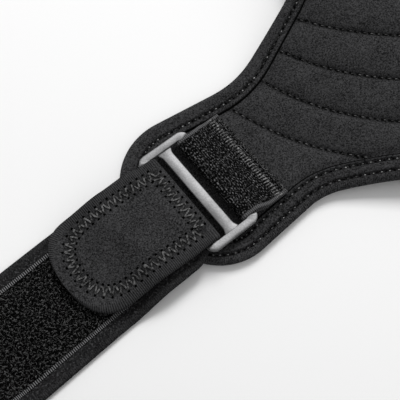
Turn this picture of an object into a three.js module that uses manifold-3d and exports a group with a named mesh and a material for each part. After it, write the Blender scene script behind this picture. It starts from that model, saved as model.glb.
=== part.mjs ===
// A shoulder brace that lies face up on a table, in millimetres with +Z up.
// A quilted pad runs over the shoulder and ends in a lobe at the chest and one at the back. On each lobe
// an elastic tab holds a three-bar slide, and one long strap runs round the chest from slide to slide,
// folded back over itself at both ends. Above the pad the arm goes through a padded sleeve.
// The brace is alike on both sides of the plane x = 0. Here `out` is the distance from that plane.
import * as THREE from "three";
import { mergeVertices } from "three/addons/utils/BufferGeometryUtils.js";
import Module from "manifold-3d";

const wasm = await Module();
wasm.setup();

const degrees = Math.PI / 180;

// The gap between two pieces that touch.
const touch = 0.3;

// The outline of the pad, walked from the middle of the neck edge round one lobe to the sleeve seam.
// Turns are arcs of a radius, and the angles are the directions in which the straight runs point.
const outline = {
  neckRadius: 241, // the shallow curve at the neck
  neckTurn: -10.7,
  waistRadius: 33.5, // the tight curve into the lobe
  waistDirection: -42.5,
  waistRun: 31.9,
  lowCornerRadius: 30.9, // the lobe has two rounder corners and a blunter tip
  lowCornerDirection: 10.8,
  tipRadius: 58.3,
  tipDirection: 56.4,
  highCornerRadius: 34.8,
  backDirection: 149.2, // from the lobe up the side of the pad
  backRun: 32.6,
  armpitRadius: 65.6,
  sideDirection: 121.8,
  sideRun: 30,
  flareRadius: 60,
  flareDirection: 75,
  flareRun: 13.5,
};

// The quilted pad and the band that is sewn round its edge. The band has neckWidth along the neck and
// the lobe, and narrows to width over change, which ends at narrowed before the sleeve seam.
const pad = { thickness: 4.2, sewnThickness: 3, stepWidth: 1.6 };
const binding = {
  thickness: 0.9,
  width: 9.8,
  neckWidth: 12.4,
  change: 90,
  narrowed: 44,
  corner: 1.1,
};
const quilt = { pitch: 22.6, radius: 125, depth: 1.1, width: 2.4, reach: 118 };

// The stitched channels of the quilting: how many pitches each lies above the neck edge, and how
// strongly it bows, as a share of the curve of quilt.radius.
const channels = [
  { up: 0.33, bow: 0.86 },
  { up: 1.22, bow: 1.09 },
  { up: 2.22, bow: 1.09 },
  { up: 3.28, bow: 0.96 },
  { up: 4.3, bow: 0.92 },
  { up: 5.3, bow: 0.86 },
  { up: 6.3, bow: 0.8 },
];

// The sleeve that the upper arm goes through, a padded tube that lies flattened.
const sleeve = { length: 120, halfWidth: 78, height: 32, endHalfWidth: 70, endHeight: 28, wall: 4, sag: 1.5 };

// The three-bar slide. Its long bars run across the strap.
const slide = { length: 60, width: 29.6, barThickness: 1.8, endThickness: 2.8 };
const bars = { endBar: 3.8, longBar: 5, middleBar: 5.8, cornerRadius: 4.5, slotCorner: 1.2, bevel: 0.3 };
const axisDirection = -38.6; // of the line from the pad through the slide
const slidePlace = { out: 26.3, aside: -7.65 }; // from the middle of the arc of the lobe's tip

// The elastic tab that is folded round the slide's inner bar. Its lower layer rises to the bar over
// liftRun, and the upper one comes down at a slope of 1 in fall.
const tab = { width: 54.6, thickness: 1.5, reach: 34.2, narrowing: 9, liftRun: 5, fall: 3.2 };

// The strap, the loop tape on its outer face, and the hook tape under its folded ends.
// The loop's middle lies loopBottom below the neck edge.
const strap = { width: 60.2, thickness: 2.8, turnedWidth: 52.6, narrowing: 8, chamfer: 0.7 };
const strapRoute = { direction: -41.6, flatRun: 102, twistRun: 88, loopBottom: 217, leave: 100, arrive: 166 };
const strapShift = 1.5; // the strap lies this much to one side of the slide
const turnedEnd = { length: 61.8, direction: -36.3, roundRun: 20, squareness: 2.5 };
const loopTape = { width: 45.6, thickness: 0.8, start: 9 };
const hookTape = { width: 42, thickness: 0.8, start: 16, endMargin: 7 };
const ramp = { start: 6, run: 24 }; // where the strap comes down past the lobe

// How finely the curved pieces are divided.
const padSteps = { seam: 3, side: 18, inside: 4, channel: 16 };
const sleeveSteps = { round: 7, along: 4 };
const strapSteps = { neck: 4, onLobe: 4, ramp: 6, flat: 4, twist: 15, loop: 14, fold: 6, turned: 6 };
const slideSteps = 2;

// How far the pad's underside stands off the table along its middle line, as a share of the sleeve's
// height, and the half span over which it falls to the table, as a share of the slide's distance out.
// `up` is the place between the neck edge, 0, and the sleeve seam, 1.
const arch = [
  { up: -0.3, rise: 0.2, span: 0.58 },
  { up: -0.02, rise: 0.205, span: 0.58 },
  { up: 0.25, rise: 0.365, span: 0.755 },
  { up: 0.333, rise: 0.42, span: 0.85 },
  { up: 0.59, rise: 0.615, span: 1.2 },
  { up: 0.85, rise: 0.79, span: 1.89 },
  { up: 1, rise: 0.845, span: 3.4 },
];

// The value of a table's column at a place, on straight lines between its rows.
function fromTable(table, column, place) {
  const last = table.length - 1;
  if (place <= table[0].up) return table[0][column];
  if (place >= table[last].up) return table[last][column];
  const next = table.findIndex((row) => row.up > place);
  const low = table[next - 1];
  const high = table[next];
  return low[column] + ((high[column] - low[column]) * (place - low.up)) / (high.up - low.up);
}

const smooth = (share) => {
  const s = Math.min(1, Math.max(0, share));
  return s * s * (3 - 2 * s);
};

const heading = (angle) => new THREE.Vector2(Math.cos(angle * degrees), Math.sin(angle * degrees));

// The walk round the outline: each leg is a straight run or an arc, with its length.
function walkOutline() {
  const legs = [];
  let at = new THREE.Vector2(0, 0);
  let direction = 0;
  const arcTo = (radius, toDirection) => {
    const turn = Math.sign(toDirection - direction);
    const from = direction;
    const centre = at.clone().add(heading(direction + 90 * turn).multiplyScalar(radius));
    const length = Math.abs(toDirection - from) * degrees * radius;
    const place = (s) => {
      const now = from + (turn * s) / radius / degrees;
      return { point: centre.clone().add(heading(now - 90 * turn).multiplyScalar(radius)), direction: now };
    };
    legs.push({ length, place, centre });
    at = place(length).point;
    direction = toDirection;
  };
  const runOn = (length) => {
    const from = at.clone();
    const now = direction;
    const place = (s) => ({ point: from.clone().add(heading(now).multiplyScalar(s)), direction: now });
    legs.push({ length, place });
    at = place(length).point;
  };
  arcTo(outline.neckRadius, outline.neckTurn);
  arcTo(outline.waistRadius, outline.waistDirection);
  runOn(outline.waistRun);
  arcTo(outline.lowCornerRadius, outline.lowCornerDirection);
  arcTo(outline.tipRadius, outline.tipDirection);
  const tip = legs[legs.length - 1];
  arcTo(outline.highCornerRadius, outline.backDirection);
  runOn(outline.backRun);
  arcTo(outline.armpitRadius, outline.sideDirection);
  runOn(outline.sideRun);
  arcTo(outline.flareRadius, outline.flareDirection);
  runOn(outline.flareRun);
  return { legs, tip };
}

const { legs, tip } = walkOutline();
const walkLength = legs.reduce((sum, leg) => sum + leg.length, 0);

// A point of the outline at a distance along the walk, with the direction in which the walk goes there.
function outlineAt(distance) {
  let rest = distance;
  for (const leg of legs) {
    if (rest <= leg.length || leg === legs[legs.length - 1]) return leg.place(rest);
    rest -= leg.length;
  }
}

// A point moved in from the outline by a margin, to the left of the walk.
const inset = (place, margin) => place.point.clone().add(heading(place.direction + 90).multiplyScalar(margin));

const corner = outlineAt(walkLength);
const topY = corner.point.y;
const axis = heading(axisDirection);
const across = heading(axisDirection + 90);
const slideCentre = tip.centre
  .clone()
  .addScaledVector(axis, slidePlace.out)
  .addScaledVector(across, slidePlace.aside);

// The place on the walk where the lobe reaches furthest along the axis.
const tipDistance =
  legs.slice(0, legs.indexOf(tip)).reduce((sum, leg) => sum + leg.length, 0) +
  (axisDirection + 90 - outline.lowCornerDirection) * degrees * outline.tipRadius;

// A station of the band: a place on the outline with the band's width there.
function bandStation(distance) {
  const left = (walkLength - binding.narrowed - distance) / binding.change;
  const width = THREE.MathUtils.lerp(binding.neckWidth, binding.width, smooth(1 - left));
  return { ...outlineAt(distance), width };
}

// How far the pad stands off the table at a place.
function liftAt(x, y) {
  const up = y / topY;
  const halfSpan = fromTable(arch, "span", up) * slideCentre.x;
  const share = Math.min(1, Math.abs(x) / halfSpan);
  return fromTable(arch, "rise", up) * sleeve.height * Math.cos((Math.PI / 2) * share) ** 2;
}

// A closed geometry from points and triangles. Points that coincide are joined, triangles that have
// lost their area are left out, and all are turned if the volume that they enclose is negative.
function closedGeometry(points, triangles) {
  const raw = new THREE.BufferGeometry();
  raw.setAttribute("position", new THREE.Float32BufferAttribute(points.flatMap((p) => [p.x, p.y, p.z]), 3));
  raw.setIndex(triangles.flat());
  const merged = mergeVertices(raw, 1e-3);
  const index = merged.index.array;
  const kept = [];
  for (let i = 0; i < index.length; i += 3) {
    const [a, b, c] = [index[i], index[i + 1], index[i + 2]];
    if (a !== b && b !== c && c !== a) kept.push([a, b, c]);
  }
  const at = (i) => new THREE.Vector3().fromBufferAttribute(merged.attributes.position, i);
  const volume = kept.reduce((sum, [a, b, c]) => sum + at(a).dot(at(b).cross(at(c))), 0);
  merged.setIndex(kept.flatMap(([a, b, c]) => (volume < 0 ? [a, c, b] : [a, b, c])));
  return merged;
}

// A solid whose sections are rings of points, each ring joined to the next. The ends are closed with
// flat caps, or the last ring is joined to the first. Each strip of its skin is split along the same
// diagonal, and from the point `crossed` of the rings on along the other one.
function loft(rings, { joined = false, crossed = Infinity } = {}) {
  const size = rings[0].length;
  const points = rings.flat();
  const triangles = [];
  const count = joined ? rings.length : rings.length - 1;
  for (let i = 0; i < count; i++) {
    const here = i * size;
    const next = ((i + 1) % rings.length) * size;
    for (let j = 0; j < size; j++) {
      const k = (j + 1) % size;
      if (j >= crossed) triangles.push([here + j, here + k, next + j], [here + k, next + k, next + j]);
      else triangles.push([here + j, here + k, next + k], [here + j, next + k, next + j]);
    }
  }
  if (!joined) {
    const flat = (ring) => {
      const u = ring[1].clone().sub(ring[0]).normalize();
      const normal = new THREE.Vector3();
      for (let j = 0; j < size; j++) normal.add(ring[j].clone().cross(ring[(j + 1) % size]));
      const v = normal.normalize().clone().cross(u);
      return ring.map((p) => new THREE.Vector2(p.dot(u), p.dot(v)));
    };
    const last = (rings.length - 1) * size;
    for (const [a, b, c] of THREE.ShapeUtils.triangulateShape(flat(rings[0]), [])) triangles.push([a, c, b]);
    for (const [a, b, c] of THREE.ShapeUtils.triangulateShape(flat(rings[rings.length - 1]), [])) {
      triangles.push([last + a, last + b, last + c]);
    }
  }
  return closedGeometry(points, triangles);
}

function toSolid(geometry) {
  const bare = geometry.clone();
  for (const name of ["normal", "uv"]) bare.deleteAttribute(name);
  const merged = mergeVertices(bare, 1e-3);
  const mesh = new wasm.Mesh({
    numProp: 3,
    vertProperties: merged.attributes.position.array,
    triVerts: new Uint32Array(merged.index.array),
  });
  return new wasm.Manifold(mesh);
}

function fromSolid(solid) {
  const mesh = solid.getMesh();
  const geometry = new THREE.BufferGeometry();
  geometry.setAttribute("position", new THREE.Float32BufferAttribute(mesh.vertProperties, 3));
  geometry.setIndex([...mesh.triVerts]);
  return geometry;
}

// The heights of the pad above its lift: the band is as thick as the pad, and lies on the table.
const padBottom = binding.thickness + touch;
const padTop = padBottom + pad.thickness;

// The stations that the pad's edge and its band share: the side from the sleeve corner to the lobe's
// tip, and the lower edge from the tip to the middle of the neck.
const columns = padSteps.seam + padSteps.side;
const sideStations = Array.from({ length: padSteps.side + 1 }, (_, i) =>
  bandStation(walkLength + ((tipDistance - walkLength) * i) / padSteps.side),
);
sideStations[0].direction = 90; // the band ends level with the sleeve seam
const lowerStations = Array.from({ length: columns + 1 }, (_, i) =>
  bandStation(tipDistance + ((0 - tipDistance) * i) / columns),
);

// The margins at which the pad begins, ends its thin edge under a band of a width, and is at its full
// thickness.
const bandMargins = (width) => [padBottom, width + touch, width + touch + pad.stepWidth];

// One half of the pad as columns of points, from the lower edge to the upper edge. The first column
// lies on the middle line, and the last one closes on itself at the lobe's tip.
function padColumns() {
  const half = [];
  for (let i = 0; i <= columns; i++) {
    const low = lowerStations[columns - i];
    const lows = bandMargins(low.width).map((margin) => inset(low, margin));
    let highs;
    if (i <= padSteps.seam) {
      highs = bandMargins(binding.width).map((margin) => {
        const drop = margin - padBottom;
        const reach = corner.point.x - padBottom - drop / Math.tan((outline.flareDirection / 2) * degrees);
        return new THREE.Vector2((reach * i) / padSteps.seam, topY - drop);
      });
    } else {
      const high = sideStations[i - padSteps.seam];
      highs = bandMargins(high.width).map((margin) => inset(high, margin));
    }
    half.push({ lows, highs });
  }
  return half;
}

// The pad: a sheet that is thinner under its band, as a grid of columns and rows with an upper and a
// lower face. Then the channels of the quilting are cut into the upper face.
function makePad() {
  const half = padColumns();
  const column = ({ lows, highs }, side) => {
    const rows = [];
    const add = (p, thickness) => rows.push({ x: side * p.x, y: p.y, thickness });
    lows.forEach((p, k) => add(p, k < 2 ? pad.sewnThickness : pad.thickness));
    for (let k = 1; k < padSteps.inside; k++) {
      add(lows[2].clone().lerp(highs[2], k / padSteps.inside), pad.thickness);
    }
    [...highs].reverse().forEach((p, k) => add(p, k > 0 ? pad.sewnThickness : pad.thickness));
    return rows;
  };
  const grid = [
    ...half.slice(1).reverse().map((c) => column(c, -1)),
    ...half.map((c) => column(c, 1)),
  ];
  const rings = grid.map((rows) => {
    const at = ({ x, y }, height) => new THREE.Vector3(x, y, liftAt(x, y) + height);
    const top = rows.map((row) => at(row, padBottom + row.thickness));
    const bottom = rows.map((row) => at(row, padBottom));
    return [...bottom, ...top.reverse()];
  });
  const count = rings[0].length / 2;
  const points = rings.flat();
  const triangles = [];
  for (let i = 0; i < rings.length - 1; i++) {
    for (let j = 0; j < 2 * count; j++) {
      const k = (j + 1) % (2 * count);
      const here = i * 2 * count;
      const next = here + 2 * count;
      triangles.push([here + j, next + k, here + k], [here + j, next + j, next + k]);
    }
  }
  const sheet = toSolid(closedGeometry(points, triangles));
  const highest = topY - binding.width;
  const cut = channels.filter(({ up }) => quilt.pitch * up + quilt.width < highest);
  return fromSolid(cut.reduce((solid, row) => solid.subtract(channelCutter(row)), sheet));
}

// A long wedge that follows one channel of the quilting, on the line y = start + x squared / 2 radii.
function channelCutter({ up, bow }) {
  const rings = [];
  for (let i = 0; i <= padSteps.channel; i++) {
    const x = quilt.reach * ((2 * i) / padSteps.channel - 1);
    const y = quilt.pitch * up + (bow * x * x) / (2 * quilt.radius);
    const floor = liftAt(x, y) + padTop - quilt.depth;
    const halfTop = quilt.width; // at twice the depth
    rings.push([
      new THREE.Vector3(x, y - halfTop, floor + 2 * quilt.depth),
      new THREE.Vector3(x, y, floor),
      new THREE.Vector3(x, y + halfTop, floor + 2 * quilt.depth),
    ]);
  }
  return toSolid(loft(rings));
}

// The band round the pad's free edge: a folded strip whose section wraps the edge, from one sleeve
// corner round both lobes and the neck to the other corner.
function makeBinding() {
  const wall = binding.thickness;
  const height = 2 * padBottom + pad.sewnThickness;
  const section = (width) => [
    [width, 0],
    [binding.corner, 0],
    [0, binding.corner],
    [0, height - binding.corner],
    [binding.corner, height],
    [width, height],
    [width, height - wall],
    [wall, height - wall],
    [wall, wall],
    [width, wall],
  ];
  const half = [...sideStations, ...lowerStations.slice(1)];
  const ringAt = (place, side) =>
    section(place.width).map(([margin, h]) => {
      const p = inset(place, margin);
      return new THREE.Vector3(side * p.x, p.y, liftAt(p.x, p.y) + h);
    });
  const left = half.map((place) => ringAt(place, -1));
  const right = half.slice(0, -1).reverse().map((place) => ringAt(place, 1));
  return loft([...left, ...right]);
}

// The sleeve's section at a share of its length, drawn in by a margin: a flat underside, round sides
// and a slightly sagging top. It is a ring of points in the plane of x and z.
function sleeveSection(share, margin, sagShare) {
  const halfWidth = THREE.MathUtils.lerp(sleeve.halfWidth, sleeve.endHalfWidth, share);
  const height = THREE.MathUtils.lerp(sleeve.height, sleeve.endHeight, share);
  const round = height / 2;
  const flat = halfWidth - round;
  const ring = [];
  const count = sleeveSteps.round;
  const push = (x, z) => ring.push(new THREE.Vector2(x, z));
  for (let i = 0; i < count; i++) push(flat * ((2 * i) / count - 1), margin);
  for (let i = 0; i < count; i++) {
    const angle = (-90 + (180 * i) / count) * degrees;
    push(flat + (round - margin) * Math.cos(angle), round + (round - margin) * Math.sin(angle));
  }
  for (let i = 0; i < count; i++) {
    const x = flat * (1 - (2 * i) / count);
    push(x, height - margin - sleeve.sag * sagShare * Math.cos((Math.PI / 2) * (x / flat)) ** 2);
  }
  for (let i = 0; i < count; i++) {
    const angle = (90 + (180 * i) / count) * degrees;
    push(-flat + (round - margin) * Math.cos(angle), round + (round - margin) * Math.sin(angle));
  }
  return ring;
}

// A tube whose wall is a closed profile of rows of { along, margin }: how far from the sleeve's
// outside the wall's surface lies at a distance from the seam.
function sleeveTube(profile) {
  const rings = profile.map(({ along, margin }) => {
    const share = along / sleeve.length;
    const section = sleeveSection(share, margin, Math.sin(Math.PI * Math.min(1, share)));
    return section.map((p) => new THREE.Vector3(p.x, topY + touch + along, p.y));
  });
  return loft(rings, { joined: true });
}

function makeSleeve() {
  const step = padBottom; // the wall steps in by this much under its hem
  const hemStart = sleeve.length - binding.width - touch;
  const end = sleeve.length - padBottom;
  const alongs = Array.from({ length: sleeveSteps.along + 1 }, (_, i) => (hemStart * i) / sleeveSteps.along);
  const outer = alongs.map((along) => ({ along, margin: 0 }));
  const inner = alongs.map((along) => ({ along, margin: sleeve.wall })).reverse();
  return sleeveTube([
    ...outer,
    { along: hemStart, margin: step },
    { along: end, margin: step },
    { along: end, margin: sleeve.wall - step },
    { along: hemStart, margin: sleeve.wall - step },
    ...inner,
  ]);
}

function makeSleeveHem() {
  const wall = binding.thickness;
  const start = sleeve.length - binding.width;
  const end = sleeve.length;
  return sleeveTube([
    { along: start, margin: 0 },
    { along: end - wall, margin: 0 },
    { along: end, margin: wall },
    { along: end, margin: sleeve.wall - wall },
    { along: end - wall, margin: sleeve.wall },
    { along: start, margin: sleeve.wall },
    { along: start, margin: sleeve.wall - wall },
    { along: end - wall, margin: sleeve.wall - wall },
    { along: end - wall, margin: wall },
    { along: start, margin: wall },
  ]);
}

// The stack of layers at the slide, as heights of their undersides above the table. The band and the
// pad end at the same height.
const lobeTop = Math.max(padTop, 2 * padBottom + pad.sewnThickness);
const strapOnLobe = lobeTop + touch;
const slideBottom = strapOnLobe + strap.thickness + touch;
const slideTop = slideBottom + slide.barThickness;

const barMiddle = (slideBottom + slideTop) / 2;

// The slide's own frame: its origin is the slide's middle, x runs along the axis away from the pad,
// and y across it. Places along the axis are measured from there.
const barInside = slide.width / 2 - bars.longBar;
const slotLength = slide.length - 2 * bars.endBar;
const slotWidth = barInside - bars.middleBar / 2;

const inFrame = (u, v, z) =>
  new THREE.Vector3(
    slideCentre.x + axis.x * u + across.x * v,
    slideCentre.y + axis.y * u + across.y * v,
    z,
  );

// A rectangle with round corners, as a shape or as a hole in one.
function roundRectangle(target, x0, y0, x1, y1, radius) {
  target.moveTo(x0 + radius, y0);
  target.lineTo(x1 - radius, y0);
  target.absarc(x1 - radius, y0 + radius, radius, -Math.PI / 2, 0);
  target.lineTo(x1, y1 - radius);
  target.absarc(x1 - radius, y1 - radius, radius, 0, Math.PI / 2);
  target.lineTo(x0 + radius, y1);
  target.absarc(x0 + radius, y1 - radius, radius, Math.PI / 2, Math.PI);
  target.lineTo(x0, y0 + radius);
  target.absarc(x0 + radius, y0 + radius, radius, Math.PI, 1.5 * Math.PI);
  return target;
}

// The slide: a flat plate with two slots, and end bars that stand proud of the three long bars.
function makeSlide() {
  const halfWidth = slide.width / 2;
  const halfLength = slide.length / 2;
  const plate = roundRectangle(new THREE.Shape(), -halfWidth, -halfLength, halfWidth, halfLength, bars.cornerRadius);
  for (const side of [-1, 1]) {
    const near = side > 0 ? bars.middleBar / 2 : -bars.middleBar / 2 - slotWidth;
    const slot = new THREE.Path();
    roundRectangle(slot, near, -slotLength / 2, near + slotWidth, slotLength / 2, bars.slotCorner);
    plate.holes.push(slot);
  }
  const bevelled = (depth) => ({
    depth: depth - 2 * bars.bevel,
    bevelEnabled: true,
    bevelSize: bars.bevel,
    bevelOffset: -bars.bevel,
    bevelThickness: bars.bevel,
    bevelSegments: 1,
    curveSegments: slideSteps,
  });
  const raise = (geometry) => toSolid(geometry.translate(0, 0, bars.bevel));
  let solid = raise(new THREE.ExtrudeGeometry(plate, bevelled(slide.barThickness)));
  for (const side of [-1, 1]) {
    const edge = side * halfLength;
    const inner = side * (slotLength / 2);
    const shape = new THREE.Shape();
    const radius = Math.min(bars.cornerRadius, bars.endBar / 2 - 2 * bars.bevel);
    roundRectangle(shape, -halfWidth, Math.min(edge, inner), halfWidth, Math.max(edge, inner), radius);
    const outside = roundRectangle(
      new THREE.Shape(), -halfWidth, -halfLength, halfWidth, halfLength, bars.cornerRadius);
    const bar = raise(new THREE.ExtrudeGeometry(shape, bevelled(slide.endThickness)));
    const limit = raise(new THREE.ExtrudeGeometry(outside, bevelled(slide.endThickness)));
    solid = solid.add(bar.intersect(limit));
  }
  return fromSolid(solid);
}

// The elastic tab: one strip folded round the slide's inner bar, with both layers sewn to the pad.
// Its section in the plane of the axis is extruded across, and it draws in where it passes the slot.
function makeTab() {
  const inner = slide.barThickness / 2 + touch;
  const outer = inner + tab.thickness;
  const barOuterEdge = -slide.width / 2;
  const bendAt = -barInside; // the bar's edge at the slot
  const end = barOuterEdge - (tab.reach - slide.width / 2);
  const low = lobeTop + touch;
  const fall = (slideTop + touch - low - tab.thickness) * tab.fall;
  const arc = (radius, from, to) =>
    Array.from({ length: strapSteps.fold + 1 }, (_, i) => {
      const angle = (from + ((to - from) * i) / strapSteps.fold) * degrees;
      return new THREE.Vector2(bendAt + radius * Math.cos(angle), barMiddle + radius * Math.sin(angle));
    });
  const shape = new THREE.Shape([
    new THREE.Vector2(end, low),
    new THREE.Vector2(barOuterEdge - tab.liftRun, low),
    new THREE.Vector2(barOuterEdge, barMiddle - outer),
    ...arc(outer, -90, 90),
    new THREE.Vector2(barOuterEdge, barMiddle + outer),
    new THREE.Vector2(barOuterEdge - fall, low + 2 * tab.thickness),
    new THREE.Vector2(end, low + 2 * tab.thickness),
  ]);
  shape.holes.push(
    new THREE.Path([
      new THREE.Vector2(barOuterEdge - fall + tab.thickness, low + tab.thickness + touch / 2),
      new THREE.Vector2(barOuterEdge - tab.liftRun, low + tab.thickness),
      new THREE.Vector2(barOuterEdge, barMiddle - inner),
      ...arc(inner, -90, 90),
      new THREE.Vector2(barOuterEdge, barMiddle + inner),
    ]),
  );
  const geometry = new THREE.ExtrudeGeometry(shape, { depth: 2, steps: 6, bevelEnabled: false });
  const slotWidthShare = (slotLength - 2 * touch) / tab.width;
  const position = geometry.attributes.position;
  for (let i = 0; i < position.count; i++) {
    const u = position.getX(i);
    const drawn = 1 - (1 - slotWidthShare) * smooth(1 + (u - barOuterEdge) / tab.narrowing);
    const v = (1 - position.getZ(i)) * (tab.width / 2) * drawn;
    const p = inFrame(u, v, position.getY(i));
    position.setXYZ(i, p.x, p.y, p.z + liftAt(p.x, p.y));
  }
  return fromSolid(toSolid(geometry));
}

// The strap as stations from the middle of its loop to its turned-back end. Each station has a middle
// point, the directions of its width and of its outer face, and its width.
const foldAt = barInside; // the outer bar's edge at the slot
const foldRadius = slide.barThickness / 2 + touch + strap.thickness / 2;
const neckWidth = slotLength - 2 * touch;
const upward = new THREE.Vector3(0, 0, 1);
const barLine = new THREE.Vector3(across.x, across.y, 0);
const axisLine = new THREE.Vector3(axis.x, axis.y, 0);
const slideEdge = slide.width / 2;
const lobeEdge = outline.tipRadius - slidePlace.out;
const layerGap = loopTape.thickness + hookTape.thickness + 3 * touch;

// The height of the strap's underside at a place along the axis: on the lobe, then down to the table.
const strapUnderside = (u) => strapOnLobe * (1 - smooth((u - lobeEdge - ramp.start) / ramp.run));

// The sideways place of the strap's middle at a place along the axis.
const strapSide = (u) =>
  strapShift * smooth((u - slideEdge) / strap.width) +
  (u - slideEdge) * Math.tan((strapRoute.direction - axisDirection) * degrees) * (u > slideEdge ? 1 : 0);

// Places from one to another in equal steps, without the last.
const divided = (from, to, count) => Array.from({ length: count }, (_, i) => from + ((to - from) * i) / count);

function lowerStrapStations() {
  const widened = slideEdge + strap.narrowing;
  const rampStart = lobeEdge + ramp.start;
  const rampEnd = rampStart + ramp.run;
  const flatEnd = slideEdge + strapRoute.flatRun;
  const along = [
    ...divided(foldAt, widened, strapSteps.neck),
    ...divided(widened, rampStart, strapSteps.onLobe),
    ...divided(rampStart, rampEnd, strapSteps.ramp),
    ...divided(rampEnd, flatEnd, strapSteps.flat),
    flatEnd,
  ];
  const square = heading(strapRoute.direction + 90);
  return along.map((u) => {
    const widen = smooth((u - foldAt) / (widened - foldAt));
    const turn = smooth((u - rampEnd) / (strap.width / 2));
    const width = new THREE.Vector3(
      THREE.MathUtils.lerp(across.x, square.x, turn),
      THREE.MathUtils.lerp(across.y, square.y, turn),
      0,
    ).normalize();
    return {
      middle: inFrame(u, strapSide(u), strapUnderside(u) + strap.thickness / 2),
      width,
      face: upward,
      size: THREE.MathUtils.lerp(neckWidth, strap.width, widen),
      along: u,
    };
  });
}

// The loop round the body: from the end of the flat run the strap turns up on its edge, and a curve
// leads it to the middle of the loop. It always stands on the table.
function loopStations() {
  const flatEnd = slideEdge + strapRoute.flatRun;
  const from = inFrame(flatEnd, strapSide(flatEnd), 0);
  const leave = heading(strapRoute.direction).multiplyScalar(strapRoute.leave);
  const middle = new THREE.Vector2(0, -strapRoute.loopBottom);
  const curve = new THREE.CubicBezierCurve(
    new THREE.Vector2(from.x, from.y),
    new THREE.Vector2(from.x + leave.x, from.y + leave.y),
    new THREE.Vector2(strapRoute.arrive, middle.y),
    middle,
  );
  const length = curve.getLength();
  const twistShare = strapRoute.twistRun / length;
  const shares = [
    ...Array.from({ length: strapSteps.twist }, (_, i) => (twistShare * (i + 1)) / strapSteps.twist),
    ...Array.from({ length: strapSteps.loop }, (_, i) => twistShare + ((1 - twistShare) * (i + 1)) / strapSteps.loop),
  ];
  return shares.map((share) => {
    const p = curve.getPointAt(share);
    const t = curve.getTangentAt(share);
    const twist = (Math.PI / 2) * smooth((share * length) / strapRoute.twistRun);
    const outwards = new THREE.Vector3(-t.y, t.x, 0);
    const width = outwards.clone().multiplyScalar(Math.cos(twist)).addScaledVector(upward, -Math.sin(twist));
    const face = outwards.clone().multiplyScalar(Math.sin(twist)).addScaledVector(upward, Math.cos(twist));
    const z = (strap.width / 2) * Math.sin(twist) + (strap.thickness / 2) * Math.cos(twist);
    return { middle: new THREE.Vector3(p.x, p.y, z), width, face, size: strap.width, along: flatEnd + share * length };
  });
}

// The fold round the outer bar, from the lower layer to the turned-back end.
function foldStations() {
  return Array.from({ length: strapSteps.fold - 1 }, (_, i) => {
    const angle = (-90 - (180 * (i + 1)) / strapSteps.fold) * degrees;
    const u = foldAt + foldRadius * Math.cos(angle);
    const outwards = axisLine.clone().multiplyScalar(-Math.cos(angle)).addScaledVector(upward, -Math.sin(angle));
    return {
      middle: inFrame(u, 0, barMiddle + foldRadius * Math.sin(angle)),
      width: barLine,
      face: outwards,
      size: neckWidth,
    };
  });
}

// The turned-back end over the strap. It lies on the tapes, and its tip is half of an oval that is
// squarer than an ellipse. `oval` holds the places of its sections, as shares of the oval's run.
function turnedStations() {
  const tip = slideEdge + turnedEnd.length;
  const roundStart = tip - turnedEnd.roundRun;
  const oval = [0, 0.3, 0.52, 0.69, 0.82, 0.91, 0.965, 0.992];
  const overTapes = (u) => strapUnderside(u) + strap.thickness + layerGap + strap.thickness / 2;
  const overBar = barMiddle + foldRadius;
  const widened = slideEdge + strap.narrowing;
  const along = [
    foldAt,
    slideEdge,
    slideEdge + strap.narrowing / 2,
    ...divided(widened, roundStart, strapSteps.turned),
    ...oval.map((share) => roundStart + turnedEnd.roundRun * share),
  ];
  return along.map((u) => {
    const widen = smooth((u - slideEdge) / strap.narrowing);
    const into = Math.max(0, u - roundStart) / turnedEnd.roundRun;
    const left = (1 - into ** turnedEnd.squareness) ** (1 / turnedEnd.squareness);
    const side = Math.max(0, u - slideEdge) * Math.tan((turnedEnd.direction - axisDirection) * degrees);
    return {
      middle: inFrame(u, side, THREE.MathUtils.lerp(overBar, overTapes(u), widen)),
      width: barLine,
      face: upward.clone().negate(),
      size: THREE.MathUtils.lerp(neckWidth, strap.turnedWidth, widen) * left,
      along: u,
    };
  });
}

// A flat strip through stations, from its underside to its top as distances along `face` from the
// middle. Its upper edges are chamfered, and its lower ones too if it isn't laid on another strip.
// A line along each side of `backing` lets a laid tape of that width follow its facets through the
// twist. The underside is split along the same diagonals as the top, so the strip keeps its thickness.
function strip(stations, bottom, top, sizeAt, { laid = false, backing = 0 } = {}) {
  const chamfer = Math.min(strap.chamfer, (top - bottom) / 3);
  const low = laid ? 0 : chamfer;
  const middle = (bottom + top) / 2;
  const rings = stations.map((station) => {
    const half = sizeAt(station) / 2;
    const line = Math.min(backing / 2, half - 2 * chamfer);
    const at = (side, out) =>
      station.middle.clone().addScaledVector(station.width, side).addScaledVector(station.face, out);
    const upper = [
      ...(laid ? [] : [at(-half, middle)]),
      at(-half + chamfer, top),
      ...(backing ? [at(-line, top), at(line, top)] : []),
      at(half - chamfer, top),
      ...(laid ? [] : [at(half, middle)]),
    ];
    const lower = [
      at(half - low, bottom),
      ...(backing ? [at(line, bottom), at(-line, bottom)] : []),
      at(-half + low, bottom),
    ];
    return [...upper, ...lower];
  });
  const lowerPoints = backing ? 4 : 2;
  return loft(rings, { crossed: rings[0].length - lowerPoints });
}

// The same stations on the other side of the plane x = 0, walked the other way, so that a strip can
// run through both halves.
function mirrored(stations) {
  return stations
    .map(({ middle, width, face, size, along }) => ({
      middle: new THREE.Vector3(-middle.x, middle.y, middle.z),
      width: new THREE.Vector3(-width.x, width.y, width.z),
      face: new THREE.Vector3(-face.x, face.y, face.z),
      size,
      along,
    }))
    .reverse();
}

const lowerHalf = [...lowerStrapStations(), ...loopStations()];
const turnedHalf = turnedStations();

// From the tip of the turned-back end round the fold and the lower layer to the middle of the loop,
// then the same on the other side.
function wholeStrap() {
  const half = [
    ...[...turnedHalf].reverse(),
    ...[...foldStations()].reverse(),
    ...lowerHalf,
  ];
  return [...half, ...mirrored(half).slice(1)];
}

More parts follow.
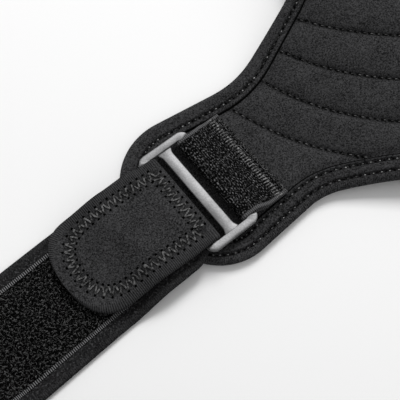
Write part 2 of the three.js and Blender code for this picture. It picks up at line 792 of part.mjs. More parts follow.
function makeStrap() {
  const half = strap.thickness / 2;
  return strip(wholeStrap(), -half, half, ({ size }) => size, { backing: loopTape.width });
}

function makeLoopTape() {
  const start = slideEdge + loopTape.start;
  const half = lowerHalf.filter(({ along }) => along >= start);
  const bottom = strap.thickness / 2 + touch;
  const both = [...half, ...mirrored(half).slice(1)];
  return strip(both, bottom, bottom + loopTape.thickness, () => loopTape.width, { laid: true });
}

function makeHookTape(side) {
  const tip = slideEdge + turnedEnd.length;
  const stations = turnedHalf.filter(
    ({ along }) => along >= slideEdge + hookTape.start && along <= tip - hookTape.endMargin,
  );
  const bottom = strap.thickness / 2 + touch;
  const margin = strap.turnedWidth - hookTape.width;
  const placed = side > 0 ? stations : mirrored(stations);
  return strip(placed, bottom, bottom + hookTape.thickness, ({ size }) => size - margin);
}

const finishes = {
  padding: new THREE.MeshStandardMaterial({ color: 0x2f2f31, roughness: 0.95, metalness: 0 }),
  edging: new THREE.MeshStandardMaterial({ color: 0x28282a, roughness: 0.9, metalness: 0 }),
  webbing: new THREE.MeshStandardMaterial({ color: 0x2b2b2d, roughness: 0.92, metalness: 0 }),
  elastic: new THREE.MeshStandardMaterial({ color: 0x1d1d1f, roughness: 0.85, metalness: 0 }),
  pile: new THREE.MeshStandardMaterial({ color: 0x161617, roughness: 1, metalness: 0 }),
  hook: new THREE.MeshStandardMaterial({ color: 0x1a1a1b, roughness: 0.7, metalness: 0 }),
  metal: new THREE.MeshStandardMaterial({ color: 0x9b9c9e, roughness: 0.42, metalness: 0.8 }),
};

const piece = (name, geometry, finish) => {
  const mesh = new THREE.Mesh(geometry, finishes[finish].clone());
  mesh.name = name;
  return mesh;
};

// A geometry reflected in the plane x = 0, with its triangles turned so that they still face out.
function reflected(geometry) {
  const copy = geometry.clone().scale(-1, 1, 1);
  const index = [...copy.index.array];
  for (let i = 0; i < index.length; i += 3) [index[i + 1], index[i + 2]] = [index[i + 2], index[i + 1]];
  copy.setIndex(index);
  return copy;
}

const brace = new THREE.Group();
brace.add(piece("shoulder_panel", makePad(), "padding"));
brace.add(piece("panel_binding", makeBinding(), "edging"));
brace.add(piece("arm_sleeve", makeSleeve(), "padding"));
brace.add(piece("sleeve_binding", makeSleeveHem(), "edging"));
brace.add(piece("chest_strap", makeStrap(), "webbing"));
brace.add(piece("strap_pile", makeLoopTape(), "pile"));

const tabGeometry = makeTab();
brace.add(piece("front_tab", reflected(tabGeometry), "elastic"));
brace.add(piece("back_tab", tabGeometry, "elastic"));
brace.add(piece("front_hook_patch", makeHookTape(-1), "hook"));
brace.add(piece("back_hook_patch", makeHookTape(1), "hook"));

for (const [name, side] of [["front_ring", -1], ["back_ring", 1]]) {
  const ring = piece(name, makeSlide(), "metal");
  ring.position.set(side * slideCentre.x, slideCentre.y, slideBottom);
  ring.rotation.z = (side > 0 ? axisDirection : 180 - axisDirection) * degrees;
  brace.add(ring);
}

// The model's origin is on the table under the middle of the whole brace.
const part = new THREE.Group();
part.add(brace);
const extent = new THREE.Box3().setFromObject(brace);
brace.position.y = -(extent.min.y + extent.max.y) / 2;

export default part;
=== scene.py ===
import math

import bmesh
import bpy
import numpy as np
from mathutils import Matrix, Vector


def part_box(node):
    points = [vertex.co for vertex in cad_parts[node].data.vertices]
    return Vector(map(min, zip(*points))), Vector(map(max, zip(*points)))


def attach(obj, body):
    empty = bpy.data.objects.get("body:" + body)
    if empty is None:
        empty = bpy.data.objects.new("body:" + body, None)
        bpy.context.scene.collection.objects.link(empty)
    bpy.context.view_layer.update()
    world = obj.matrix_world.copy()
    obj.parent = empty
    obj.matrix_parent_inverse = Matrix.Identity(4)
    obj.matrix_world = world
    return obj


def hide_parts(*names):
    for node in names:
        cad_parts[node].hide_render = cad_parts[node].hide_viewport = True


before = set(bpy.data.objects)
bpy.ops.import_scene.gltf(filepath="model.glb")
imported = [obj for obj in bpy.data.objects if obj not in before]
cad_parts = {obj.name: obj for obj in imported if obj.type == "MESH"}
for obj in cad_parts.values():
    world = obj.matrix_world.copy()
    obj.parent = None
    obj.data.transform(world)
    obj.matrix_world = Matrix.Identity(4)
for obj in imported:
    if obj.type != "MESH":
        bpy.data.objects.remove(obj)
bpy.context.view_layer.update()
MM = 0.001

# The table and the light. The brace lies on a pale, matt table under a large soft light from behind,
# and the camera looks down at the front lobe.
TABLE_COLOUR, TABLE_SIZE, TABLE_BELOW = (0.93, 0.93, 0.93, 1.0), 8.0, 0.0002
CAMERA_DOWN, CAMERA_DISTANCE = 68.0, 0.3168  # degrees below the horizon, and metres
LENS, SENSOR = 57.6, 36.0
AIM_FROM_SLIDE = (0.0013, -0.0011)  # from the front slide's middle to the picture's middle
KEY_PLACE, KEY_AIM, KEY_SIZE, KEY_POWER = (0.1, 1.35, 1.6), (-0.1, 0, 0), 0.9, 33.0
FILL_PLACE, FILL_AIM, FILL_SIZE, FILL_POWER = (0.9, -0.5, 1.2), (0, 0, 0), 1.4, 1.6
ROOM_LIGHT = 0.45

slide_middle = np.mean([np.array(corner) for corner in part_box("front_ring")], axis=0)
aim = slide_middle[:2] + AIM_FROM_SLIDE
tilt = math.radians(CAMERA_DOWN)
camera_data = bpy.data.cameras.new("camera")
camera_data.lens, camera_data.sensor_width = LENS, SENSOR
camera = bpy.data.objects.new("camera", camera_data)
camera.location = (aim[0], aim[1] - CAMERA_DISTANCE * math.cos(tilt), CAMERA_DISTANCE * math.sin(tilt))
camera.rotation_euler = (math.pi / 2 - tilt, 0, 0)
bpy.context.collection.objects.link(camera)
bpy.context.scene.camera = camera


def soft_light(name, place, aim_at, size, power):
    """A square area light at a place, turned towards a point."""
    data = bpy.data.lights.new(name, "AREA")
    data.size, data.energy = size, power
    lamp = bpy.data.objects.new(name, data)
    lamp.location = place
    x, y, z = np.array(aim_at) - np.array(place)
    lamp.rotation_euler = (math.atan2(math.hypot(x, y), -z), 0, math.atan2(y, x) - math.pi / 2)
    bpy.context.collection.objects.link(lamp)


soft_light("key light", KEY_PLACE, KEY_AIM, KEY_SIZE, KEY_POWER)
soft_light("fill light", FILL_PLACE, FILL_AIM, FILL_SIZE, FILL_POWER)
room = bpy.data.worlds.new("room")
room.use_nodes = True
background = room.node_tree.nodes["Background"].inputs
background["Color"].default_value = (1, 1, 1, 1)
background["Strength"].default_value = ROOM_LIGHT
bpy.context.scene.world = room
bpy.context.scene.view_settings.view_transform = "Standard"

bpy.ops.mesh.primitive_plane_add(size=TABLE_SIZE, location=(0, 0, -TABLE_BELOW))
table = bpy.context.object
table.name = "table"
table_finish = bpy.data.materials.new("table")
table_finish.use_nodes = True
table_shader = table_finish.node_tree.nodes["Principled BSDF"].inputs
table_shader["Base Color"].default_value = TABLE_COLOUR
table_shader["Roughness"].default_value = 0.8
table.data.materials.append(table_finish)


# The padding of the pad and the sleeve: foam sheet with a charcoal knit face, which has a grain of
# lighter and darker stitches. It is cut to shape and sewn.
KNIT_DARK, KNIT_LIGHT = (0.004, 0.004, 0.0042), (0.066, 0.066, 0.068)
# The colour of painted shade in the seams, in the channels' slits and in the grooves along the stitching.
SHADE_BLACK = 0.0015
CLOTH = {"Specular_IOR_Level": 0.03}


class Wire:
    """One output of a shader node. Sizes are millimetres, except in the object's coordinates."""

    def __init__(self, tree, socket=None):
        self.tree, self.socket = tree, socket

    def add(self, kind, settings=None, **inputs):
        """The first output of a new node. Its settings are set first, then its inputs, by name with _
        for a space, or by number as i0, i1 and so on."""
        node = self.tree.nodes.new(kind)
        for key, value in (settings or {}).items():
            setattr(node, key, value)
        for key, value in inputs.items():
            numbered = key[0] == "i" and key[1:].isdigit()
            target = node.inputs[int(key[1:]) if numbered else key.replace("_", " ")]
            if isinstance(value, Wire):
                self.tree.links.new(value.socket, target)
            else:
                target.default_value = value
        return Wire(self.tree, node.outputs[0])

    def out(self, name):
        """Another output of the same node."""
        return Wire(self.tree, self.socket.node.outputs[name])

    def math(self, operation, *values):
        """A Math node on these values."""
        inputs = {f"i{number}": value for number, value in enumerate(values)}
        return self.add("ShaderNodeMath", {"operation": operation}, **inputs)

    def least(self, other):
        """The smaller of the two."""
        return self.math("MINIMUM", self, other)

    def most(self, other):
        """The larger of the two."""
        return self.math("MAXIMUM", self, other)

    def wave(self, pitch):
        """A sine of this length, from 0 to 1 and with a period of pitch."""
        return self.math("SINE", self * (2 * math.pi / pitch)) * 0.5 + 0.5

    def ramp(self, low, high):
        """0 below low, 1 above high, smooth between."""
        return self.add("ShaderNodeMapRange", {"interpolation_type": "SMOOTHSTEP"}, i0=self, i1=low, i2=high)

    def fade(self, low, high):
        """1 below low, 0 above high, smooth between."""
        return 1 - self.ramp(low, high)

    def mix(self, low, high):
        """A colour from low to high, by this value. Each is a wire, red, green and blue, or one grey."""
        node = self.add("ShaderNodeMix", {"data_type": "RGBA"}, Factor=self).socket.node
        for name, colour in (("A", low), ("B", high)):
            target = [s for s in node.inputs if s.name == name and s.type == "RGBA"][0]
            if isinstance(colour, Wire):
                self.tree.links.new(colour.socket, target)
            else:
                target.default_value = (*np.broadcast_to(colour, 3).tolist(), 1)
        return Wire(self.tree, [s for s in node.outputs if s.type == "RGBA"][0])

    def noise(self, size, detail=2.0):
        """A value from 0 to 1 that wanders over about size, at these coordinates."""
        return self.add("ShaderNodeTexNoise", Vector=self, Scale=1 / (size * MM), Detail=detail).out("Fac")

    def mark(self, name):
        """A value that the mesh holds at its points, such as the distance from a seam."""
        return self.add("ShaderNodeAttribute", {"attribute_name": name}).out("Fac")


def overload(word, operation):
    """The Math node behind an operator, and behind its reflected form, as in 1 - mask."""
    setattr(Wire, f"__{word}__", lambda self, other: self.math(operation, self, other))
    setattr(Wire, f"__r{word}__", lambda self, other: self.math(operation, other, self))


for word, operation in (("add", "ADD"), ("sub", "SUBTRACT"), ("mul", "MULTIPLY"), ("truediv", "DIVIDE"),
                        ("pow", "POWER")):
    overload(word, operation)


def finish(name, look, roughness=0.9, **fixed):
    """A material. look takes the object's coordinates and the piece's own u and v in millimetres, and
    gives a colour, a height in millimetres and, if it varies, a roughness."""
    material = bpy.data.materials.new(name)
    material.use_nodes = True
    tree = material.node_tree
    shader = tree.nodes["Principled BSDF"].inputs
    places = Wire(tree).add("ShaderNodeTexCoord")
    flat = places.add("ShaderNodeSeparateXYZ", i0=places.out("UV"))
    colour, height, *more = look(places.out("Object"), flat.out("X") / MM, flat.out("Y") / MM)
    bump = height.add("ShaderNodeBump", Strength=1.0, Distance=MM, Height=height)
    tree.links.new(colour.socket, shader["Base Color"])
    tree.links.new(bump.socket, shader["Normal"])
    shader["Roughness"].default_value = roughness
    if more:
        tree.links.new(more[0].socket, shader["Roughness"])
    for key, value in fixed.items():
        shader[key.replace("_", " ")].default_value = value
    return material


def knit_face(where):
    """The tone from 0 to 1 and the relief of a knit face."""
    stitch = where.noise(0.8, 3.0)
    fibre = where.noise(0.4)
    patch = where.noise(11)
    tone = (stitch * 0.65 + fibre * 0.35 + (patch - 0.5) * 0.12).ramp(0.3, 0.72)
    return tone, stitch * 0.12 + fibre * 0.05


def knit_look(where, u, v):
    """The knit face in its two tones."""
    tone, relief = knit_face(where)
    return tone.mix(KNIT_DARK, KNIT_LIGHT), relief


padding = finish("padding", knit_look, 0.95, **CLOTH)


# The pad's outline, walked from the middle of the neck edge round a lobe to the sleeve seam, as arcs
# and straight runs. The lengths are those of the frame's pad.
NECK = [(241, -10.7), (33.5, -42.5), (None, 31.9)]  # radius or None, new direction or length of a run
LOBE = [(30.9, 10.8), (58.3, 56.4), (34.8, 149.2)]
SIDE = [(None, 32.6), (65.6, 121.8), (None, 30), (60, 75), (None, 13.5)]
TIP_LEG = 4
FLARE = 75
AXIS = -38.6  # the direction of the strap at the slides
WALK_STEP = 0.25


def heading(degrees):
    """The direction in the plan at an angle."""
    angle = np.radians(degrees)
    return np.stack([np.cos(angle), np.sin(angle)], -1)


axis, across = heading(AXIS), heading(AXIS + 90)


def walk_outline():
    """Points and directions along the walk, WALK_STEP apart; the distance at which the lobe reaches
    furthest along the axis; that point; and the length of the walk."""
    at, direction, points, directions, done = np.zeros(2), 0.0, [], [], 0.0
    for number, (radius, value) in enumerate(NECK + LOBE + SIDE):
        swing = value - direction if radius else 0.0
        length = abs(swing) * math.pi / 180 * radius if radius else value
        share = np.linspace(0, 1, max(2, int(length / WALK_STEP)), endpoint=False)
        points.append(at + share[:, None] * length * heading(direction))
        directions.append(direction + swing * share)
        if radius:
            spoke = math.copysign(radius, swing)
            centre = at + spoke * heading(direction + 90)
            points[-1] = centre - spoke * heading(directions[-1] + 90)
            at = centre - spoke * heading(value + 90)
            if number == TIP_LEG:
                tip = done + (AXIS + 90 - direction) * math.pi / 180 * radius
                tip_place = centre + radius * axis
            direction = value
        else:
            at = at + length * heading(direction)
        done += length
    directions = np.append(np.concatenate(directions), direction)
    return np.concatenate([*points, at[None]]), directions, tip, tip_place, done


walk_points, walk_directions, tip_distance, tip_place, walk_length = walk_outline()
walk_at = np.concatenate([[0], np.cumsum(np.linalg.norm(np.diff(walk_points, axis=0), axis=1))])
walk_at *= walk_length / walk_at[-1]
seam_x, seam_y = walk_points[-1]
shift_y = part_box("shoulder_panel")[1][1] / MM - seam_y  # the frame's own place along the table
sleeve_low, sleeve_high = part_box("arm_sleeve")
sleeve_height = (sleeve_high[2] - sleeve_low[2]) / MM
slide_plan = slide_middle[:2] / MM * (-1, 1) - (0, shift_y)


def stations(distances):
    """Points, and directions to the left of the walk, at distances along the outline."""
    points = [np.interp(distances, walk_at, column) for column in walk_points.T]
    return np.stack(points, 1), heading(np.interp(distances, walk_at, walk_directions) + 90)


ARCH_UP = [-0.3, -0.02, 0.25, 0.333, 0.59, 0.85, 1]  # up the pad, as shares of the seam's height
ARCH_RISE = [0.2, 0.205, 0.365, 0.42, 0.615, 0.79, 0.845]  # shares of the sleeve's height
ARCH_SPAN = [0.58, 0.58, 0.755, 0.85, 1.2, 1.89, 3.4]  # shares of the slides' distance from the middle
ARCH_EASE = 0.06


def eased(at, places, values):
    """Values between the places of a table, with its corners rounded."""
    offsets = np.linspace(-ARCH_EASE, ARCH_EASE, 7)
    return np.mean([np.interp(at + offset, places, values) for offset in offsets], axis=0)


def lift(x, y):
    """How far the pad's underside stands off the table: a rise along the middle line that falls away
    to the sides as a squared cosine."""
    up = y / seam_y
    span = eased(up, ARCH_UP, ARCH_SPAN) * slide_plan[0]
    share = np.clip(np.abs(x) / span, 0, 1)
    return eased(up, ARCH_UP, ARCH_RISE) * sleeve_height * np.cos(math.pi / 2 * share) ** 2


def smooth(value):
    """0 below 0 and 1 above 1, with a rise between them that starts and ends level."""
    share = np.clip(value, 0, 1)
    return share * share * (3 - 2 * share)


def dip(distance, width):
    """1 at a line, falling to 0 over about width on both sides."""
    return np.exp(-((distance / width) ** 2))


def to_frame(x, y, z):
    """Millimetres of the walk to metres of the frame."""
    return np.stack(np.broadcast_arrays(x, y + shift_y, z), -1) * MM


def add_piece(name, vertices, faces, material):
    """A mesh object that rides with the brace, smoothly shaded."""
    mesh = bpy.data.meshes.new(name)
    mesh.from_pydata(vertices.tolist(), [], faces)
    mesh.materials.append(material)
    mesh.polygons.foreach_set("use_smooth", [True] * len(mesh.polygons))
    piece = bpy.data.objects.new(name, mesh)
    bpy.context.collection.objects.link(piece)
    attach(piece, "root")
    return piece


def quads(index):
    """The faces between the rings of a grid of vertex numbers, each ring closed."""
    right = np.roll(index, -1, 1)
    return np.stack([index[:-1], right[:-1], right[1:], index[1:]], -1).reshape(-1, 4)


def skin(name, points, material, node=None, uv=None, marks=None, caps=False, merge=False):
    """A closed mesh of rings of points. uv is a grid of the same shape in metres, and marks are grids of
    values to keep at the points. caps closes the first and last ring, and merge joins what coincides."""
    rings, size = points.shape[:2]
    index = np.arange(rings * size).reshape(rings, size)
    walls = quads(index)
    a, b, c, d = points.reshape(-1, 3)[walls].transpose(1, 0, 2)
    volume = (a * np.cross(b, c)).sum() + (a * np.cross(c, d)).sum()
    outward = -1 if volume < 0 else 1
    ends = [index[0][::-outward].tolist(), index[-1][::outward].tolist()] if caps else []
    piece = add_piece(name, points.reshape(-1, 3), walls[:, ::outward].tolist() + ends, material)
    mesh = piece.data
    if uv is not None:
        layer = mesh.uv_layers.new(name="cloth")
        loops = np.empty(len(mesh.loops), int)
        mesh.loops.foreach_get("vertex_index", loops)
        layer.data.foreach_set("uv", uv.reshape(-1, 2)[loops].ravel())
    for key, values in (marks or {}).items():
        mesh.attributes.new(key, "FLOAT", "POINT").data.foreach_set("value", values.ravel())
    if merge:
        work = bmesh.new()
        work.from_mesh(mesh)
        bmesh.ops.remove_doubles(work, verts=work.verts, dist=1e-6)
        bmesh.ops.dissolve_degenerate(work, edges=work.edges, dist=1e-7)
        work.to_mesh(mesh)
        work.free()
    if node:
        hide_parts(node)
    return piece


def with_mirror(half, sign=-1):
    """The rings of one half after their mirror images, from one end to the other. Values with x in
    front are reflected."""
    flip = np.ones(half.shape[-1])
    flip[0] = sign
    return np.concatenate([half[1:][::-1] * flip, half])


# The quilted pad: one sheet of padding, pressed thin where its edge band is sewn on, and puffed up
# between the stitched channels that cross it in bows.
SIDE_BAND, NECK_BAND, BAND_CHANGE, BAND_NARROWED = 9.8, 12.4, 90.0, 44.0
PAD_UNDER, PAD_SEWN, PAD_TOP = 1.2, 4.2, 5.4
CHANNELS = [(0.33, 0.86), (1.22, 1.09), (2.22, 1.09), (3.28, 0.96), (4.3, 0.92), (5.3, 0.86), (6.3, 0.8)]
CHANNEL_PITCH, CHANNEL_RADIUS, DASH = 22.6, 125.0, 3.5
SWELL, SWELL_WIDTH, SEAM_WIDTH, BEYOND = 1.15, 6.0, 1.9, 40.0
GROOVES = [(0.8, 1.5), (0.5, 3.6)]  # depth and width of a channel's slit, and of its sides
SEAM_COLUMNS, SIDE_COLUMNS, INNER_ROWS, EDGE_ROWS, UNDER_STEP = 70, 135, 160, 14, 12
UNDER_BAND = 3.0  # how far the close rows at the edge run on past the band
FAR = 9.0  # the mark of a place that no seam is near


def band_width(distance):
    """The band is wider along the neck and the lobe, and narrows towards the sleeve."""
    left = (walk_length - BAND_NARROWED - distance) / BAND_CHANGE
    return NECK_BAND + (SIDE_BAND - NECK_BAND) * smooth(1 - left)


def past_seam(points):
    """How far each point lies inside the band's inner edge, less than 0 under the band and outside."""
    flat = points.reshape(-1, 2)
    edge_at = walk_at[::3]
    edge, inward = stations(edge_at)
    found = []
    for part in np.array_split(flat, len(flat) // 4000 + 1):
        away = part[:, None] - edge[None]
        nearest = (away ** 2).sum(-1).argmin(1)
        gap = away[np.arange(len(part)), nearest]
        margin = np.copysign(np.hypot(gap[:, 0], gap[:, 1]), (gap * inward[nearest]).sum(-1))
        found.append(margin - band_width(edge_at[nearest]))
    return np.concatenate(found).reshape(points.shape[:-1])


def channel_line(x, up, bow):
    """A channel's height in the plan: a parabola, bow times as curved as CHANNEL_RADIUS."""
    return CHANNEL_PITCH * up + bow * x * x / (2 * CHANNEL_RADIUS)


def pad_top(x, y, past):
    """The height of the pad's face above its lift: it dips at the band's seam and at each channel, and
    swells between them."""
    near = np.full(x.shape, BEYOND)
    for up, bow in CHANNELS:
        slope = bow * x / CHANNEL_RADIUS
        near = np.minimum(near, np.abs(y - channel_line(x, up, bow)) / np.sqrt(1 + slope * slope))
    quilted = smooth((y - channel_line(x, *CHANNELS[0]) + 3) / 6) * smooth(past / 7)
    swell = SWELL * (1 - dip(near, SWELL_WIDTH)) * quilted
    groove = sum(depth * dip(near, width) for depth, width in GROOVES) * smooth(past / 1.5)
    face = PAD_TOP - (PAD_TOP - PAD_SEWN) * dip(np.maximum(past, 0), SEAM_WIDTH)
    return np.where(past < 0, PAD_SEWN, face) + swell - groove


def pad_half():
    """One half of the pad's plan as columns of rows of x and y: close rows that follow the neck and the
    lobe, close rows that follow the seam and the side, and rows spread evenly between them."""
    low_at = np.linspace(0, tip_distance, SEAM_COLUMNS + SIDE_COLUMNS + 1)
    side_at = np.linspace(walk_length, tip_distance, SIDE_COLUMNS + 1)[1:]
    share = np.linspace(0, 1, EDGE_ROWS) ** 0.8

    def edge_rows(at):
        """Close rows from the edge inwards, at distances along the outline."""
        points, inward = stations(at)
        inset = PAD_UNDER + (band_width(at)[:, None] + UNDER_BAND - PAD_UNDER) * share
        return points[:, None] + inward[:, None] * inset[..., None]

    down = (SIDE_BAND + UNDER_BAND - PAD_UNDER) * share
    reach = seam_x - PAD_UNDER - down / math.tan(math.radians(FLARE / 2))
    along_seam = np.linspace(0, 1, SEAM_COLUMNS + 1)[:, None]
    top = np.stack(np.broadcast_arrays(along_seam * reach, seam_y - down), -1)
    lows = edge_rows(low_at)
    highs = np.concatenate([top, edge_rows(side_at)])
    inner = np.linspace(0, 1, INNER_ROWS + 2)[1:-1][None, :, None]
    middle = lows[:, -1:] * (1 - inner) + highs[:, -1:] * inner
    return np.concatenate([lows, middle, highs[:, ::-1]], 1)


def quilted_look(where, u, v):
    """The knit face with painted shade: a dark slit in each channel's groove, which the stitches break into
    dashes, a softer band of shade beside it, and shade in the seam at the band. u and v are the pad's plan."""
    tone, relief = knit_face(where)
    wander = (where.noise(6) - 0.5) * 0.9
    near = None
    for up, bow in CHANNELS:
        slope = u * (bow / CHANNEL_RADIUS)
        line = slope * u * 0.5 + CHANNEL_PITCH * up
        away = u.math("ABSOLUTE", v - line + wander) / (slope * slope + 1) ** 0.5
        near = near.least(away) if near else away
    past = where.mark("past")
    inside = past.ramp(0.2, 1.2)
    dash = (u + wander).wave(DASH).ramp(0.15, 0.6)
    # Painted shade: the slit is shade in the floor of each channel's groove, shade is a softer band of it on
    # both sides, and the seam at the band is shaded too.
    slit = near.fade(0.3, 0.8) * (dash * 0.85 + 0.15) * inside
    shade = near.fade(0.4, 2.4) * 0.4 * inside
    dark = (slit * 0.95).most(shade).most(past.fade(0.25, 0.7) * 0.97)
    return dark.mix(tone.mix(KNIT_DARK, KNIT_LIGHT), SHADE_BLACK), relief - slit * 0.7


quilted = finish("quilted padding", quilted_look, 0.95, **CLOTH)


def make_pad():
    """The pad's face, and an underside with fewer rows, as rings from one side to the other."""
    half = pad_half()
    past = past_seam(half)
    x, y = half[..., 0], half[..., 1]
    last = half.shape[1] - 1
    few = np.unique([0, EDGE_ROWS - 1, *range(EDGE_ROWS, last, UNDER_STEP), last])
    top = to_frame(x, y, lift(x, y) + pad_top(x, y, past))
    bottom = to_frame(x, y, lift(x, y) + PAD_UNDER)[:, few]
    plan = np.concatenate([half[:, few], half[:, ::-1]], 1) * MM
    # The past mark places the painted shade at the seam and keeps the channels' painted shade off the band;
    # the underside is far from any seam.
    marks = np.concatenate([0 * past[:, few] + FAR, past[:, ::-1]], 1)[..., None]
    piece = skin("quilted_pad", with_mirror(np.concatenate([bottom, top[:, ::-1]], 1)), quilted,
                 "shoulder_panel", uv=with_mirror(plan), marks={"past": with_mirror(marks, 1)}, merge=True)


make_pad()


# Sewing thread: short stitches that dive into the cloth at both ends, and near-black pieces beside them
# that are painted shade in the holes they make. The dashed stitches of the pad's channels come first.
UP = np.array([0.0, 0.0, 1.0])
STITCH_SIDES, STITCH_SUNK = 5, 0.6  # how far a stitch sinks, as a share of its radius
CHANNEL_THREAD, CHANNEL_ARCH, CHANNEL_STITCH, CHANNEL_FLOOR = 0.32, 0.15, 0.75, 0.85


def thread_look(low, high):
    """Threads between two tones of grey, each stitch its own."""
    return lambda where, u, v: (where.noise(1.3).ramp(0.35, 0.7).mix(low, high), where.noise(0.15) * 0.05)


light_thread = finish("light thread", thread_look(0.03, 0.36), 0.6, **CLOTH)
dark_thread = finish("dark thread", thread_look(0.02, 0.15), 0.7, **CLOTH)
grey_thread = finish("grey thread", thread_look(0.03, 0.30), 0.65, **CLOTH)
# Near black and without shine: painted shade in the needle holes beside the stitches, on small pieces of its
# own.
dent_shade = finish("dent_shade", thread_look(0.001, 0.002), 1.0, Specular_IOR_Level=0.0)


def unit(v):
    """Vectors of length 1 in the same directions."""
    return v / np.linalg.norm(v, axis=-1, keepdims=True)


def threads(name, middle, across_one, across_two, thick, sides, material, side=1, capped=True):
    """Threads as one mesh. Each follows a row of middle, and its section is a circle in two directions
    across it, which with its own direction are right-handed. side is -1 for their mirror image."""
    angle = np.arange(sides)[:, None] * 2 * math.pi / sides
    spoke = across_one[..., None, :] * np.cos(angle) + across_two[..., None, :] * np.sin(angle)
    points = (middle[:, :, None] + spoke * thick) * (side, 1, 1)
    ring = np.arange(middle.shape[1] * sides).reshape(-1, sides)
    first = np.arange(len(middle))[:, None] * ring.size
    faces = (quads(ring)[None, :, ::side] + first[..., None]).reshape(-1, 4).tolist()
    for end in (ring[0][::-side], ring[-1][::side]) if capped else ():
        faces += (end[None] + first).tolist()
    return add_piece(name, points.reshape(-1, 3), faces, material)


def sew(name, starts, ends, radius, arch, material, slot, steps=6):
    """Stitches as one mesh. Each runs from a start to an end, bows up by arch in its middle, and
    thins out at both ends."""
    t = np.linspace(-1, 1, steps + 1)[:, None]
    length = np.linalg.norm(ends - starts, axis=1)[:, None, None]
    ahead = unit(ends - starts)[:, None]
    aside = unit(np.cross(UP, ahead))
    up = np.cross(ahead, aside)
    middle = (starts + ends)[:, None] / 2 + ahead * length / 2 * t
    middle = middle + up * (arch * (1 - t ** 2) - radius * STITCH_SUNK) * MM
    thick = radius * MM * np.sqrt(np.maximum(1 - np.abs(t) ** 4, 0.02))[..., None]
    return threads(name, middle, aside, up, thick, STITCH_SIDES, material)


def channel_stitches():
    """Stitches along the floor of each channel, which hold the dashes apart."""
    stores = [], []
    x = np.linspace(0, slide_plan[0], 1200)
    for up, bow in CHANNELS:
        kept = x[past_seam(np.stack([x, channel_line(x, up, bow)], -1)) > 1.0]
        middles = (np.arange(-40, 41) + 0.5) * DASH
        middles = middles[(np.abs(middles) > kept[0]) & (np.abs(middles) < kept[-1])]
        for store, offset in zip(stores, (-CHANNEL_STITCH, CHANNEL_STITCH)):
            px = middles + offset
            py = channel_line(px, up, bow)
            store.append(to_frame(px, py, lift(px, py) + PAD_TOP - CHANNEL_FLOOR))
    starts, ends = (np.concatenate(store) for store in stores)
    sew("channel_stitches", starts, ends, CHANNEL_THREAD, CHANNEL_ARCH, dark_thread, "padding")


channel_stitches()


# The edge band: knit folded over the pad's edge. A row of stitches holds it close to the seam, and a
# second row runs near its outer edge along the neck.
BAND_TOP, BAND_ROUND = 5.5, 2.75
FROM_SEAM, FROM_SEAM_SIDE, FROM_EDGE, STITCH_PITCH = 2.4, 3.4, 4.2, 4.0
TOP_POINTS, EDGE_POINTS, BAND_STEP = 26, 13, 0.6
RIB_PITCH = 0.95
TUCKED = [(None, 4.3), (4, 4.4), (0.95, 4.2), (0.95, 1.1), (4, 0.9), (None, 0.9)]  # None at the inner edge
BAND_ROWS = [("inner", 0, walk_length - 4, 0.36, 0.5), ("outer", 1, tip_distance, 0.26, 0.34)]
# Of each pair, the first places a light stitch and the second the near-black piece beside it, painted shade
# in the hole.
STITCH, DENT_SHADE = (1.5, 2.5), (-0.7, 0.5)  # from and to, past each hole
STITCH_ABOVE, DENT_SHADE_ABOVE, BAND_ARCH = -0.15, -0.5, 0.12


def band_look(where, u, v):
    """The knit face, with painted shade in the seam and along the rows of stitches where they draw the band
    in, and fine ribs over the rolled edge. v runs inwards from the top of the roll."""
    tone, relief = knit_face(where)
    rib = u.wave(RIB_PITCH) * v.fade(-0.5, 2.0)
    # Painted shade, patchy, along the rows of stitches where they draw the band in, and in the seam at its
    # inner edge; the same rows dip in the relief.
    row = where.mark("row") + (where.noise(1.5) - 0.5) * 1.6
    pulled_in_and_shaded = row.fade(0.3, 1.4) * (where.noise(1.1, 1.0).ramp(0.35, 0.6) * 0.6 + 0.3)
    dark = (where.mark("seam").fade(0.1, 0.75) * 0.96).most(pulled_in_and_shaded * 0.85)
    face = (tone + rib * 0.2 - 0.06).mix(KNIT_DARK, KNIT_LIGHT)
    return dark.mix(face, SHADE_BLACK), relief + rib * 0.12 - pulled_in_and_shaded * 0.3


edging = finish("edging", band_look, 0.95, **CLOTH)


def columns(*parts):
    """Numbers and grids side by side, as the columns of one grid."""
    rows = max(len(part) for part in parts if np.ndim(part))
    return np.concatenate([np.broadcast_to(part, (rows, np.shape(part)[1] if np.ndim(part) else 1))
                           for part in parts], 1)


def band_rows(distance):
    """The margins of the band's rows of stitches, from its outer edge. Along the side the outer row
    runs out under the inner one."""
    along_side = smooth((distance - tip_distance) / BAND_CHANGE + 0.5)
    inner = band_width(distance) - FROM_SEAM - (FROM_SEAM_SIDE - FROM_SEAM) * along_side
    return inner, np.where(distance < tip_distance, FROM_EDGE, inner)


def band_height(margin, distance):
    """The band's top: swollen between its rows of stitches, with a dip round each stitch, and rolled
    down into the seam at its inner edge."""
    inner, outer = band_rows(distance)
    puff = 0.55 * smooth((margin - outer) / 1.4) * smooth((inner - margin) / 1.4)
    puff = puff + 0.45 * smooth((margin - 1.5) / 2.0) * smooth((outer - margin) / 1.6)
    hole = 0.5 + 0.5 * np.cos(2 * math.pi * distance / STITCH_PITCH)
    drawn = np.maximum(dip(margin - inner, 0.9), dip(margin - outer, 0.9)) * (0.35 + 0.35 * hole)
    return BAND_TOP + puff - drawn - smooth((margin - band_width(distance) + 0.9) / 0.9) ** 2


